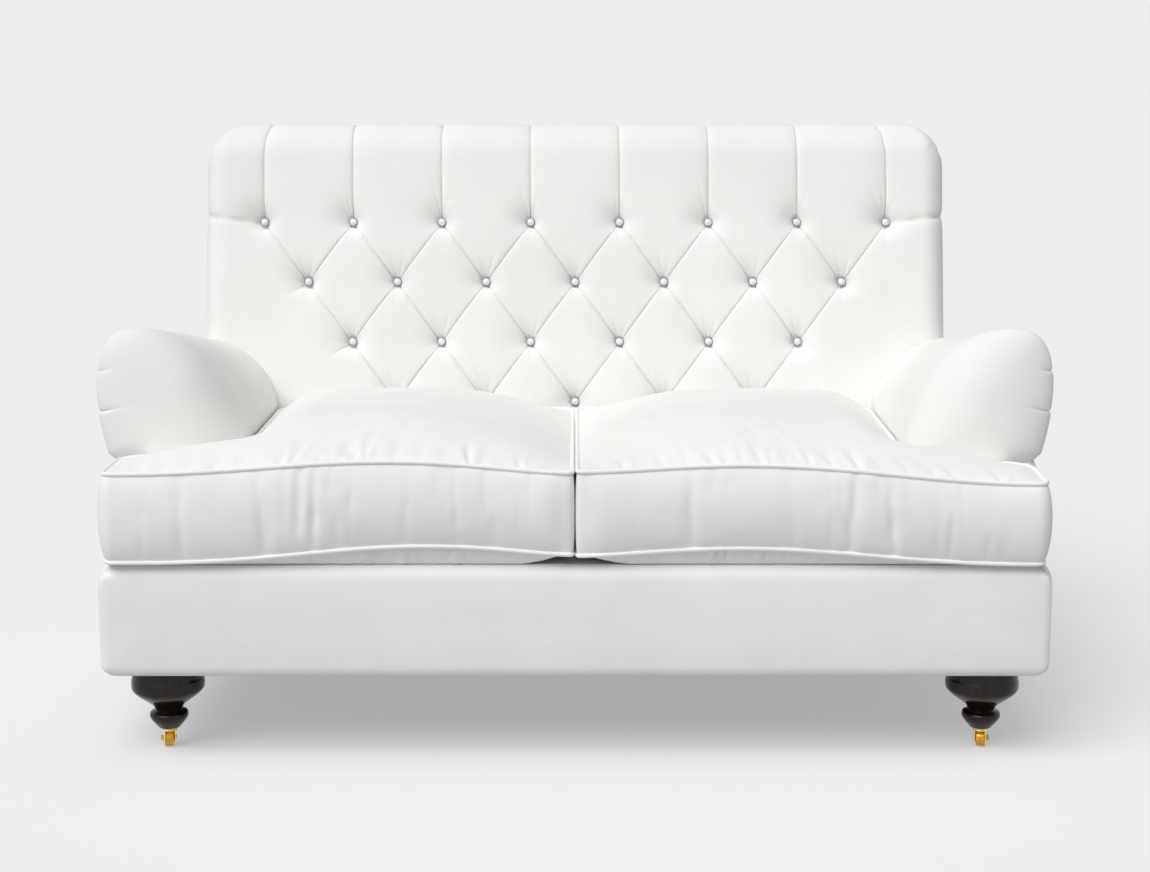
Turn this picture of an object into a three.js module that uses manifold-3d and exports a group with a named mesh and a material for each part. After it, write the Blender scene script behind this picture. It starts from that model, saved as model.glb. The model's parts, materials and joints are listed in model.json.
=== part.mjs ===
// A two-seat button-back sofa with low rolled arms, loose T-shaped seat cushions,
// turned front legs on brass castors and a beech frame inside.
// Millimetres. +X to the right seen from the front, +Y to the back, +Z up.
// The origin is on the floor, under the middle of the sofa's outer box.

import * as THREE from 'three';
import { mergeVertices } from 'three/addons/utils/BufferGeometryUtils.js';
import Module from 'manifold-3d';

const wasm = await Module();
wasm.setup();

// Overall sizes
const SOFA_WIDTH = 1544;
const SOFA_DEPTH = 920;
const SOFA_HEIGHT = 990;

// Clearances
const FIT_GAP = 0.3;
const SOFT_GAP = 1;
const CUT_OVERRUN = 40;

// Base
const BASE_BOTTOM = 142;
const BASE_TOP = 322;
const BORDER_SET_IN = 25;
const BORDER_THICK = 20;
const BORDER_SET_BACK = 5;
const BORDER_ROUND = 16;
const SIDE_PANEL_OVERHANG = 10;
const SIDE_PANEL_THICK = 26;
const DUST_COVER_THICK = 1.5;
const RAIL_THICK = 28;
const CENTRE_RAIL_DROP = 50;
const REAR_RAIL_SET_IN = 28;
const BLOCK_LEG = 105;
const DECK_THICK = 25;

// Seat springs
const SPRING_COUNT = 4;
const SPRING_WIRE = 4;
const SPRING_WAVE = 24;
const SPRING_LOOPS = 8;
const SPRING_STEPS = 6;
const SPRING_SEAT_LAP = 18;
const SPRING_HEADROOM = 2.7;
const SPRING_EDGE_SPACE = 252;

// Front legs, turned
const LEG_SET_IN = 87;
const LEG_SET_BACK = 70;
const LEG_BOWL_RADIUS = 58.5;
const LEG_BOWL_DROP = 29;
const LEG_NECK_RADIUS = 22;
const LEG_NECK_RISE = 30;
const LEG_BALL_RADIUS = 32.5;
const LEG_BALL_RISE = 19.5;
const LEG_FOOT_RADIUS = 17;
const LEG_BOLT_RADIUS = 5;
const LEG_BOLT_IN_LEG = 34;
const LEG_BOLT_IN_BLOCK = 60;
const BOLT_CLEARANCE = 0.4;

// Castors
const WHEEL_RADIUS = 15;
const WHEEL_WIDTH = 14;
const WHEEL_EDGE_ROUND = 2.5;
const WHEEL_HEADROOM = 3.4;
const AXLE_RADIUS = 2.5;
const AXLE_HEAD_RADIUS = 4;
const AXLE_HEAD_THICK = 1.5;
const RUNNING_GAP = 0.25;
const CHEEK_THICK = 2.5;
const CHEEK_GAP = 0.5;
const CHEEK_HALF_WIDTH = 6;
const FORK_CROWN_RADIUS = 12;
const FORK_CROWN_THICK = 2.5;
const CASTOR_PLATE_RADIUS = 14.5;
const CASTOR_PLATE_THICK = 2.5;
const CASTOR_STEM_RADIUS = 4;
const CASTOR_STEM_IN_LEG = 22;
const CASTOR_TRAIL = 18;
const CASTOR_TURN_DEGREES = 162;

// Rear legs, square, tapered and raked
const REAR_LEG_SIDE_IN = 107;
const REAR_LEG_TOP_WIDTH = 62;
const REAR_LEG_FOOT_WIDTH = 42;
const REAR_LEG_SET_IN = 112;
const REAR_LEG_RAKE = 34;

// Back
const BACK_TO_RAIL = 10.7;
const BACK_RAKE_DEGREES = 5;
const BACK_TAPER_DEGREES = 7.95;
const BACK_PANEL_THICK = 8;
const BACK_TOP_FLAT = 98;
const BACK_CORNER_RADIUS = 85;
const BACK_TOP_ROLL = 62;
const BACK_SIDE_ROLL = 45;
const BACK_POCKET_DEPTH = 46;
const BACK_POCKET_WALL = 28;
const POST_WIDTH = 36;
const POST_SET_IN = 2;
const BACK_RAIL_HEIGHT = 45;
const BACK_RAIL_THICK = 26;
const BACK_BOTTOM_RAIL_RISE = 4;
const SHOULDER_DROP = 12.5;

// Buttons and the diamonds between them
const BUTTON_END_SPACE = 111;
const LOWEST_ROW_RISE = 141.3;
const BUTTON_ROWS = 4;
const TOP_ROW_BUTTONS = 8;
const TOP_ROW_DROP = 187.7;
const BACK_FOOT_DEPTH = 218.9;
const BUTTON_RADIUS = 7.5;
const BUTTON_THICK = 6;
const BUTTON_STAND_OFF = 7;
const TWINE_RADIUS = 1.5;
const TWINE_CLEARANCE = 0.4;
const STRAP_WIDTH = 20;
const STRAP_THICK = 2;
const STRAP_END = 22;
const PUFF = 36;
const COVERED_PUFF = 8;

// Arms
const ARM_FRONT = 150;
const ARM_WIDTH = 223;
const ARM_FOOT_RISE = 148;
const ARM_FRONT_HEIGHT = 683;
const ARM_REAR_HEIGHT = 558;
const ARM_SLOT_WIDTH = 45;
const ARM_SLOT_IN_PANEL = 6;
const ARM_SLOT_DROP = 36;
const ARM_POST_DEPTH = 45;
const ARM_RAIL_HEIGHT = 34;
const ARM_RAIL_DROP = 7;
const ARM_NOSE_ROUND = 46;
const ARM_NOSE_INNER_ROUND = 110;
const ARM_NOSE_OUTER_ROUND = 24;

// Seat cushions
const CUSHION_SWELL = 14;
const CUSHION_SIDE_SWELL = 12;
const CUSHION_INNER_SWELL = 4;
const CUSHION_HALF_GAP = 7;
const CUSHION_ARM_SPACE = 9;
const CUSHION_EAR_SPACE = 9;
const CUSHION_EAR_SET_IN = 10;
const CUSHION_EAR_GAP = 7;
const CUSHION_BACK_SPACE = 14;
const CUSHION_CROWN = 60;
const CROWN_REACH = 180;
const EAR_CROWN_SHARE = 0.3;
const SEAM_TOP_INNER = 155;
const SEAM_TOP_MIDDLE = 173;
const SEAM_TOP_CORNER = 140;
const SEAM_TOP_REAR = 152;
const SEAM_LOW_INNER = 22;
const SEAM_LOW_MIDDLE = 30;
const SEAM_LOW_CORNER = 8;
const SEAM_LOW_REAR = 16;
const SEAM_MIDDLE_SPACE = 190;
const PIPING_RADIUS = 5;
const UNDERSIDE_REACH = 60;
const CORE_WRAP = 26;
const CORE_RISE = 24;
const CORE_HEIGHT = 100;
const CORE_GAP = 0.4;
const ZIP_LENGTH = 300;
const ZIP_HEIGHT = 8;
const ZIP_DEPTH = 20;
const SLIDER_LENGTH = 12;
const SLIDER_THICK = 4;
const SLIDER_HEIGHT = 9;

// Places worked out from the sizes above
const rake = THREE.MathUtils.degToRad(BACK_RAKE_DEGREES);
const taper = Math.tan(THREE.MathUtils.degToRad(BACK_TAPER_DEGREES));
const seamPlane = -SOFA_DEPTH / 2 + CUSHION_SWELL;
const depthAt = (d) => seamPlane + d;
const borderHalf = SOFA_WIDTH / 2 - BORDER_SET_IN;
const sidePanelOut = borderHalf + SIDE_PANEL_OVERHANG;
const sidePanelIn = sidePanelOut - SIDE_PANEL_THICK;
const sideRailOut = sidePanelIn - FIT_GAP;
const sideRailIn = sideRailOut - RAIL_THICK;
const frontRailFront = BORDER_SET_BACK + BORDER_THICK + FIT_GAP;
const frontRailBack = frontRailFront + RAIL_THICK;
const railBottom = BASE_BOTTOM + DUST_COVER_THICK + 2 * FIT_GAP;
const deckTop = BASE_TOP - FIT_GAP;
const deckBottom = deckTop - DECK_THICK;
const railTop = deckBottom - SPRING_WIRE - SPRING_HEADROOM;
const springLevel = railTop + FIT_GAP + SPRING_WIRE / 2;
const legFootLevel = 2 * WHEEL_RADIUS + WHEEL_HEADROOM + FORK_CROWN_THICK + CASTOR_PLATE_THICK + 2 * FIT_GAP;
const backTopAlong = (SOFA_HEIGHT - BASE_BOTTOM - BACK_TOP_FLAT * Math.sin(rake)) / Math.cos(rake);
const panelBack = FIT_GAP + BACK_PANEL_THICK;
const panelTopAlong = backTopAlong;
const backPlane = SOFA_DEPTH / 2 - panelBack * Math.cos(rake) - panelTopAlong * Math.sin(rake);
const backHalf = sideRailIn - BACK_TO_RAIL;
const pocketHalf = backHalf - BACK_POCKET_WALL;
const pocketTopAlong = backTopAlong - BACK_POCKET_WALL - BACK_CORNER_RADIUS / 2;
const postOut = pocketHalf - POST_SET_IN;
const postIn = postOut - POST_WIDTH;
const rearRailBack = backPlane - RAIL_THICK / 2;
const rearRailFront = rearRailBack - REAR_RAIL_SET_IN;
const footAlong = (BASE_TOP - BASE_BOTTOM) / Math.cos(rake);
const topRowLevel = backTopAlong - TOP_ROW_DROP;
const buttonDepth = (along) => BACK_FOOT_DEPTH - taper * (along - footAlong);
const rowStep = (topRowLevel - footAlong - LOWEST_ROW_RISE) / (BUTTON_ROWS - 1);
const buttonPitch = (2 * (backHalf - BUTTON_END_SPACE)) / (TOP_ROW_BUTTONS - 1);
const shoulderLevel = (ARM_REAR_HEIGHT - SHOULDER_DROP - BASE_BOTTOM) / Math.cos(rake);
const legSpread = borderHalf - LEG_SET_IN;
const rearLegSpread = borderHalf - REAR_LEG_SIDE_IN;
const bowlLevel = BASE_BOTTOM - LEG_BOWL_DROP;
const neckLevel = legFootLevel + LEG_NECK_RISE;
const ballLevel = legFootLevel + LEG_BALL_RISE;
const armInner = SOFA_WIDTH / 2 - ARM_WIDTH;
const armFootLevel = BASE_TOP + ARM_FOOT_RISE;
const armSlotTop = ARM_REAR_HEIGHT - ARM_SLOT_DROP;
const armRailTop = armSlotTop - ARM_RAIL_DROP;
const cushionArmSide = armInner - CUSHION_ARM_SPACE;
const earStart = armInner - CUSHION_EAR_SPACE;
const earEnd = borderHalf - CUSHION_EAR_SET_IN;
const earDepth = ARM_FRONT - CUSHION_EAR_GAP;
const footOut = BACK_FOOT_DEPTH + COVERED_PUFF;
const backFootFront = backPlane + footAlong * Math.sin(rake) - footOut * Math.cos(rake);
const cushionDepth = backFootFront - seamPlane - CUSHION_BACK_SPACE;
const seamMiddle = cushionArmSide - SEAM_MIDDLE_SPACE;
const coreBottom = BASE_TOP + CORE_RISE;
const coreTop = coreBottom + CORE_HEIGHT;
const zipLevel = coreBottom + CORE_HEIGHT / 2;

const COLOURS = {
  cloth: { color: '#f4f4f2', roughness: 0.85, metalness: 0 },
  beech: { color: '#c9a273', roughness: 0.6, metalness: 0 },
  espresso: { color: '#1c1412', roughness: 0.22, metalness: 0 },
  brass: { color: '#b0802a', roughness: 0.25, metalness: 1 },
  steel: { color: '#8e9194', roughness: 0.4, metalness: 1 },
  foam: { color: '#e9dfb6', roughness: 0.9, metalness: 0 },
  felt: { color: '#d8d2c4', roughness: 0.95, metalness: 0 },
  dustCloth: { color: '#2a2a2c', roughness: 0.95, metalness: 0 },
  pearl: { color: '#f2f2f4', roughness: 0.12, metalness: 0 },
};

const sofa = new THREE.Group();
const backGroup = new THREE.Group();
backGroup.position.set(0, backPlane, BASE_BOTTOM);
backGroup.rotation.x = -rake;
sofa.add(backGroup);

function addPiece(name, geometry, finish, parent = sofa) {
  const mesh = new THREE.Mesh(geometry, new THREE.MeshStandardMaterial(COLOURS[finish]));
  mesh.name = name;
  parent.add(mesh);
  return mesh;
}

// A box between two corners
function block(x0, x1, y0, y1, z0, z1) {
  const geometry = new THREE.BoxGeometry(x1 - x0, y1 - y0, z1 - z0);
  geometry.translate((x0 + x1) / 2, (y0 + y1) / 2, (z0 + z1) / 2);
  return geometry;
}

// A closed skin from points and triangles, turned so that its faces point out
function skin(points, triangles) {
  let volume = 0;
  const normal = new THREE.Vector3();
  for (const [a, b, c] of triangles) {
    normal.crossVectors(points[b], points[c]);
    volume += points[a].dot(normal);
  }
  const index = triangles.flatMap(([a, b, c]) => (volume < 0 ? [a, c, b] : [a, b, c]));
  const geometry = new THREE.BufferGeometry();
  geometry.setAttribute('position', new THREE.Float32BufferAttribute(points.flatMap((p) => p.toArray()), 3));
  geometry.setIndex(index);
  return geometry;
}

function toSolid(geometry) {
  const bare = new THREE.BufferGeometry();
  bare.setAttribute('position', geometry.getAttribute('position'));
  bare.setIndex(geometry.getIndex());
  const merged = mergeVertices(bare);
  return new wasm.Manifold(new wasm.Mesh({
    numProp: 3,
    vertProperties: new Float32Array(merged.getAttribute('position').array),
    triVerts: new Uint32Array(merged.getIndex().array),
  }));
}

function toGeometry(solid) {
  const mesh = solid.getMesh();
  const geometry = new THREE.BufferGeometry();
  geometry.setAttribute('position', new THREE.BufferAttribute(new Float32Array(mesh.vertProperties), 3));
  geometry.setIndex(new THREE.BufferAttribute(new Uint32Array(mesh.triVerts), 1));
  return geometry;
}

function cut(geometry, ...tools) {
  return toGeometry(tools.reduce((body, tool) => body.subtract(toSolid(tool)), toSolid(geometry)));
}

function join(geometry, ...others) {
  return toGeometry(others.reduce((body, other) => body.add(toSolid(other)), toSolid(geometry)));
}

// The same geometry moved from the raked back's frame into the sofa's frame
function fromBackFrame(geometry) {
  backGroup.updateMatrix();
  return geometry.clone().applyMatrix4(backGroup.matrix);
}

// An upright rod, from one level to another
function rod(radius, z0, z1, sides, x = 0, y = 0) {
  const geometry = new THREE.CylinderGeometry(radius, radius, z1 - z0, sides);
  geometry.rotateX(Math.PI / 2);
  geometry.translate(x, y, (z0 + z1) / 2);
  return geometry;
}

// Everything behind this box's front face is behind the back frame's rear plane
function behindBack(clearance) {
  const reach = SOFA_WIDTH;
  return fromBackFrame(block(-reach, reach, -clearance, reach, -reach, reach));
}

// Base: rails, blocks, springs, deck, covers
function addBase() {
  const railEnd = sideRailIn - FIT_GAP;
  addPiece('front_rail', block(-railEnd, railEnd, depthAt(frontRailFront), depthAt(frontRailBack),
    railBottom, railTop), 'beech');
  addPiece('rear_rail', block(-railEnd, railEnd, rearRailFront, rearRailBack, railBottom, railTop), 'beech');
  for (const [name, side] of [['left', -1], ['right', 1]]) {
    const inner = Math.min(side * sideRailIn, side * sideRailOut);
    const outer = Math.max(side * sideRailIn, side * sideRailOut);
    addPiece(`${name}_side_rail`, block(inner, outer, depthAt(frontRailFront), rearRailBack,
      railBottom, railTop), 'beech');
  }
  addPiece('centre_rail', block(-RAIL_THICK / 2, RAIL_THICK / 2, depthAt(frontRailBack) + FIT_GAP,
    rearRailFront - FIT_GAP, railBottom, railTop - CENTRE_RAIL_DROP), 'beech');
  addCornerBlocks(railEnd);
  addSprings();
  addPiece('seat_deck', block(-railEnd, railEnd, depthAt(BORDER_SET_BACK + BORDER_THICK) + FIT_GAP,
    rearRailBack, deckBottom, deckTop), 'felt');
  addDustCover();
}

function addCornerBlocks(railEnd) {
  const places = [
    ['front_left', -1, depthAt(frontRailBack) + FIT_GAP, 1],
    ['front_right', 1, depthAt(frontRailBack) + FIT_GAP, 1],
    ['rear_left', -1, rearRailFront - FIT_GAP, -1],
    ['rear_right', 1, rearRailFront - FIT_GAP, -1],
  ];
  for (const [name, side, y, inward] of places) {
    const outline = new THREE.Shape();
    outline.moveTo(0, 0);
    outline.lineTo(-side * BLOCK_LEG, 0);
    outline.lineTo(0, inward * BLOCK_LEG);
    outline.closePath();
    const geometry = new THREE.ExtrudeGeometry(outline, {
      depth: railTop - railBottom, bevelEnabled: false,
    });
    geometry.translate(side * railEnd, y, railBottom);
    const bolt = boltPlace(name, side);
    const hole = rod(LEG_BOLT_RADIUS + BOLT_CLEARANCE, railBottom - CUT_OVERRUN,
      BASE_BOTTOM + LEG_BOLT_IN_BLOCK + FIT_GAP, 16, bolt.x, bolt.y);
    addPiece(`${name}_corner_block`, cut(geometry, hole), 'beech');
  }
}

// Each leg's bolt stands on the leg's own axis
function boltPlace(name, side) {
  if (name.startsWith('front')) return { x: side * legSpread, y: depthAt(LEG_SET_BACK) };
  return { x: side * rearLegSpread, y: rearLegTopY() };
}

function rearLegTopY() {
  return rearRailBack - REAR_LEG_SET_IN / 2;
}

class WaveCurve extends THREE.Curve {
  constructor(x, y0, y1, z) {
    super();
    Object.assign(this, { x, y0, y1, z });
  }

  getPoint(t, target = new THREE.Vector3()) {
    const sway = SPRING_WAVE * Math.sin(2 * Math.PI * SPRING_LOOPS * t);
    return target.set(this.x + sway, THREE.MathUtils.lerp(this.y0, this.y1, t), this.z);
  }
}

// A ring of points for a swept wire or tube
function circleShape(radius, sides) {
  const outline = new THREE.Shape();
  for (let i = 0; i < sides; i += 1) {
    const angle = (2 * Math.PI * i) / sides;
    const method = i === 0 ? 'moveTo' : 'lineTo';
    outline[method](radius * Math.cos(angle), radius * Math.sin(angle));
  }
  outline.closePath();
  return outline;
}

function addSprings() {
  const y0 = depthAt(frontRailBack) - SPRING_SEAT_LAP;
  const y1 = rearRailFront + SPRING_SEAT_LAP;
  for (let i = 0; i < SPRING_COUNT; i += 1) {
    const x = 2 * (sideRailIn - SPRING_EDGE_SPACE) * (i / (SPRING_COUNT - 1) - 1 / 2);
    const geometry = new THREE.ExtrudeGeometry(circleShape(SPRING_WIRE / 2, 4), {
      steps: SPRING_LOOPS * SPRING_STEPS,
      bevelEnabled: false,
      extrudePath: new WaveCurve(x, y0, y1, springLevel),
    });
    addPiece(`seat_spring_${i + 1}`, geometry, 'steel');
  }
}

function addDustCover() {
  const sheet = block(-sideRailOut + FIT_GAP, sideRailOut - FIT_GAP, depthAt(frontRailFront), rearRailBack,
    BASE_BOTTOM + FIT_GAP, BASE_BOTTOM + FIT_GAP + DUST_COVER_THICK);
  const holes = [];
  for (const side of [-1, 1]) {
    holes.push(rod(LEG_BOWL_RADIUS + SOFT_GAP, 0, BASE_TOP, 32, side * legSpread, depthAt(LEG_SET_BACK)));
    const half = REAR_LEG_TOP_WIDTH / 2 + SOFT_GAP;
    const x = side * rearLegSpread;
    holes.push(block(x - half, x + half, rearLegTopY() - half, rearLegTopY() + half, 0, BASE_TOP));
  }
  addPiece('dust_cover', cut(sheet, ...holes), 'dustCloth');
}

// A rounded rectangle for a padded panel
function roundedRectangle(x0, x1, y0, y1, radius) {
  const outline = new THREE.Shape();
  outline.moveTo(x0 + radius, y0);
  outline.lineTo(x1 - radius, y0);
  outline.absarc(x1 - radius, y0 + radius, radius, -Math.PI / 2, 0, false);
  outline.absarc(x1 - radius, y1 - radius, radius, 0, Math.PI / 2, false);
  outline.absarc(x0 + radius, y1 - radius, radius, Math.PI / 2, Math.PI, false);
  outline.absarc(x0 + radius, y0 + radius, radius, Math.PI, Math.PI * 1.5, false);
  return outline;
}

// The padded border under the seat cushions and the two outside panels
function addOuterPanels() {
  const border = new THREE.ExtrudeGeometry(
    roundedRectangle(-borderHalf, borderHalf, BASE_BOTTOM, BASE_TOP, BORDER_ROUND),
    { depth: BORDER_THICK - BORDER_ROUND / 2, curveSegments: 4, bevelSize: BORDER_ROUND / 4,
      bevelOffset: -BORDER_ROUND / 4, bevelThickness: BORDER_ROUND / 4, bevelSegments: 2 },
  );
  border.rotateX(Math.PI / 2);
  border.translate(0, depthAt(BORDER_SET_BACK + BORDER_THICK - BORDER_ROUND / 4), 0);
  addPiece('front_border', border, 'cloth');
  for (const [name, side] of [['left', -1], ['right', 1]]) {
    const front = depthAt(BORDER_SET_BACK + BORDER_THICK + FIT_GAP);
    const shoulder = depthAt(ARM_FRONT);
    const outline = new THREE.Shape();
    outline.moveTo(front, BASE_BOTTOM);
    outline.lineTo(SOFA_DEPTH / 2, BASE_BOTTOM);
    outline.lineTo(SOFA_DEPTH / 2, armFootLevel - FIT_GAP);
    outline.lineTo(shoulder, armFootLevel - FIT_GAP);
    outline.lineTo(shoulder, BASE_TOP);
    outline.lineTo(front, BASE_TOP);
    outline.closePath();
    const panel = new THREE.ExtrudeGeometry(outline, { depth: SIDE_PANEL_THICK, bevelEnabled: false });
    panel.applyMatrix4(new THREE.Matrix4().makeBasis(
      new THREE.Vector3(0, 1, 0), new THREE.Vector3(0, 0, 1), new THREE.Vector3(1, 0, 0)));
    panel.translate(side > 0 ? sidePanelIn : -sidePanelOut, 0, 0);
    addPiece(`${name}_outside_panel`, cut(panel, behindBack(0)), 'cloth');
  }
}

// The ball and the bowl of a front leg: out as a share of the radius, up as a share of the rise
const BALL_SHARES = [[0.74, 0.3], [0.91, 0.62], [1, 1], [0.88, 1.22]];
const BOWL_SHARES = [[0.02, 0.06], [0.16, 0.2], [0.45, 0.37], [0.77, 0.55], [0.91, 0.71]];
const BOWL_TOP_SHARE = 0.98;

// Front legs, turned on a lathe, with a bolt hole above and a castor hole below
function legProfile() {
  const bolt = LEG_BOLT_RADIUS + BOLT_CLEARANCE;
  const stem = CASTOR_STEM_RADIUS + BOLT_CLEARANCE;
  const top = railBottom - FIT_GAP;
  const bowlDrop = bowlLevel - neckLevel;
  const bowlIn = LEG_BOWL_RADIUS - LEG_NECK_RADIUS;
  const stemTop = legFootLevel + CASTOR_STEM_IN_LEG;
  const points = [[0, stemTop], [stem, stemTop], [stem, legFootLevel], [LEG_FOOT_RADIUS, legFootLevel]];
  const ballDrop = ballLevel - legFootLevel;
  for (const [out, up] of BALL_SHARES) {
    points.push([LEG_BALL_RADIUS * out, legFootLevel + ballDrop * up]);
  }
  points.push([LEG_NECK_RADIUS, neckLevel]);
  for (const [out, up] of BOWL_SHARES) {
    points.push([LEG_NECK_RADIUS + bowlIn * out, neckLevel + bowlDrop * up]);
  }
  points.push([LEG_BOWL_RADIUS, bowlLevel]);
  const collar = LEG_SET_BACK - frontRailFront - SOFT_GAP;
  points.push([LEG_BOWL_RADIUS * BOWL_TOP_SHARE, BASE_BOTTOM - FIT_GAP]);
  points.push([collar, BASE_BOTTOM - FIT_GAP]);
  points.push([collar, top]);
  points.push([bolt, top], [bolt, BASE_BOTTOM - LEG_BOLT_IN_LEG], [0, BASE_BOTTOM - LEG_BOLT_IN_LEG]);
  return points.map(([r, z]) => new THREE.Vector2(r, z));
}

// A lathe shape turned so that its axis is upright
function turned(profile, segments) {
  const geometry = new THREE.LatheGeometry(profile, segments);
  geometry.rotateX(Math.PI / 2);
  return geometry;
}

function addFrontLegs() {
  for (const [name, side] of [['left', -1], ['right', 1]]) {
    const leg = turned(legProfile(), 24);
    leg.translate(side * legSpread, depthAt(LEG_SET_BACK), 0);
    addPiece(`front_${name}_leg`, leg, 'espresso');
    addPiece(`front_${name}_leg_bolt`, rod(LEG_BOLT_RADIUS, BASE_BOTTOM - LEG_BOLT_IN_LEG + FIT_GAP,
      BASE_BOTTOM + LEG_BOLT_IN_BLOCK, 12, side * legSpread, depthAt(LEG_SET_BACK)), 'steel');
    addCastor(name, side);
  }
}

// One castor: a plate screwed to the leg, a fork that swivels, an axle and a wheel
function addCastor(name, side) {
  const castor = new THREE.Group();
  castor.position.set(side * legSpread, depthAt(LEG_SET_BACK), 0);
  castor.rotation.z = side * THREE.MathUtils.degToRad(CASTOR_TURN_DEGREES);
  sofa.add(castor);
  const plateTop = legFootLevel - FIT_GAP;
  const plateBottom = plateTop - CASTOR_PLATE_THICK;
  const plate = cut(rod(CASTOR_PLATE_RADIUS, plateBottom, plateTop, 20),
    rod(CASTOR_STEM_RADIUS + RUNNING_GAP, 0, BASE_BOTTOM, 16));
  addPiece(`front_${name}_castor_plate`, plate, 'brass', castor);
  const crownTop = plateBottom - FIT_GAP;
  const crownBottom = crownTop - FORK_CROWN_THICK;
  const stemTop = legFootLevel + CASTOR_STEM_IN_LEG - SOFT_GAP;
  const cheekIn = WHEEL_WIDTH / 2 + CHEEK_GAP;
  const stem = rod(CASTOR_STEM_RADIUS, crownBottom, stemTop, 12);
  const fork = join(rod(FORK_CROWN_RADIUS, crownBottom, crownTop, 20), stem,
    cheek(cheekIn, crownTop), cheek(-cheekIn - CHEEK_THICK, crownTop));
  const bore = sideways(rod(AXLE_RADIUS + RUNNING_GAP, -SOFA_WIDTH, SOFA_WIDTH, 16));
  addPiece(`front_${name}_castor_fork`, cut(fork, bore), 'brass', castor);
  const head = cheekIn + CHEEK_THICK + RUNNING_GAP;
  const end = head + AXLE_HEAD_THICK;
  const axleProfile = [[0, -end], [AXLE_HEAD_RADIUS, -end], [AXLE_HEAD_RADIUS, -head], [AXLE_RADIUS, -head],
    [AXLE_RADIUS, head], [AXLE_HEAD_RADIUS, head], [AXLE_HEAD_RADIUS, end], [0, end]];
  const axle = new THREE.LatheGeometry(axleProfile.map(toPoint), 12);
  addPiece(`front_${name}_castor_axle`, sidewaysLathe(axle), 'brass', castor);
  addPiece(`front_${name}_castor_wheel`, sidewaysLathe(wheelGeometry()), 'brass', castor);
}

function toPoint([r, z]) {
  return new THREE.Vector2(r, z);
}

// An upright shape laid on its side at the wheel's centre
function sideways(geometry) {
  geometry.rotateY(Math.PI / 2);
  geometry.translate(0, -CASTOR_TRAIL, WHEEL_RADIUS);
  return geometry;
}

function sidewaysLathe(geometry) {
  geometry.rotateZ(-Math.PI / 2);
  geometry.translate(0, -CASTOR_TRAIL, WHEEL_RADIUS);
  return geometry;
}

function wheelGeometry() {
  const bore = AXLE_RADIUS + RUNNING_GAP;
  const half = WHEEL_WIDTH / 2;
  const round = WHEEL_EDGE_ROUND;
  const profile = [[bore, -half], [WHEEL_RADIUS - round, -half], [WHEEL_RADIUS, -half + round],
    [WHEEL_RADIUS, half - round], [WHEEL_RADIUS - round, half], [bore, half], [bore, -half]];
  return new THREE.LatheGeometry(profile.map(toPoint), 32);
}

// One fork cheek, from the crown down to the axle
function cheek(x, crownTop) {
  const outline = new THREE.Shape();
  outline.moveTo(CHEEK_HALF_WIDTH, crownTop);
  outline.lineTo(-CHEEK_HALF_WIDTH, crownTop);
  outline.lineTo(-CASTOR_TRAIL - CHEEK_HALF_WIDTH, WHEEL_RADIUS);
  outline.absarc(-CASTOR_TRAIL, WHEEL_RADIUS, CHEEK_HALF_WIDTH, Math.PI, 2 * Math.PI, false);
  outline.closePath();
  const geometry = new THREE.ExtrudeGeometry(outline, {
    depth: CHEEK_THICK, curveSegments: 6, bevelEnabled: false,
  });
  geometry.applyMatrix4(new THREE.Matrix4().makeBasis(
    new THREE.Vector3(0, 1, 0), new THREE.Vector3(0, 0, 1), new THREE.Vector3(1, 0, 0)));
  geometry.translate(x, 0, 0);
  return geometry;
}

// Rear legs: square, tapered, raked towards the wall
function addRearLegs() {
  for (const [name, side] of [['left', -1], ['right', 1]]) {
    const top = railBottom - FIT_GAP;
    const x = side * rearLegSpread;
    const corners = [[-1, -1], [1, -1], [1, 1], [-1, 1]];
    const ring = (half, y, z) => corners.map(([a, b]) => new THREE.Vector3(x + a * half, y + b * half, z));
    const leg = loft([ring(REAR_LEG_FOOT_WIDTH / 2, rearLegTopY() + REAR_LEG_RAKE, 0),
      ring(REAR_LEG_TOP_WIDTH / 2, rearLegTopY(), top)], ['x', 'y']);
    const hole = rod(LEG_BOLT_RADIUS + BOLT_CLEARANCE, BASE_BOTTOM - LEG_BOLT_IN_LEG, SOFA_HEIGHT, 16,
      x, rearLegTopY());
    addPiece(`rear_${name}_leg`, cut(leg, hole), 'espresso');
    addPiece(`rear_${name}_leg_bolt`, rod(LEG_BOLT_RADIUS, BASE_BOTTOM - LEG_BOLT_IN_LEG + FIT_GAP,
      BASE_BOTTOM + LEG_BOLT_IN_BLOCK, 12, x, rearLegTopY()), 'steel');
  }
}

// A closed body through rings of points, with flat caps seen along the two named axes
function loft(rings, [a, b]) {
  const count = rings[0].length;
  const points = rings.flat();
  const triangles = [];
  for (let r = 0; r < rings.length - 1; r += 1) {
    for (let i = 0; i < count; i += 1) {
      const j = (i + 1) % count;
      const low = r * count;
      triangles.push([low + i, low + j, low + count + j], [low + i, low + count + j, low + count + i]);
    }
  }
  const caps = THREE.ShapeUtils.triangulateShape(rings[0].map((p) => new THREE.Vector2(p[a], p[b])), []);
  const last = (rings.length - 1) * count;
  const area = THREE.ShapeUtils.area(rings[0].map((p) => new THREE.Vector2(p[a], p[b])));
  for (const [i, j, k] of caps) {
    const [p, q, s] = area > 0 ? [i, j, k] : [i, k, j];
    triangles.push([p, s, q], [last + p, last + q, last + s]);
  }
  return skin(points, triangles);
}

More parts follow.
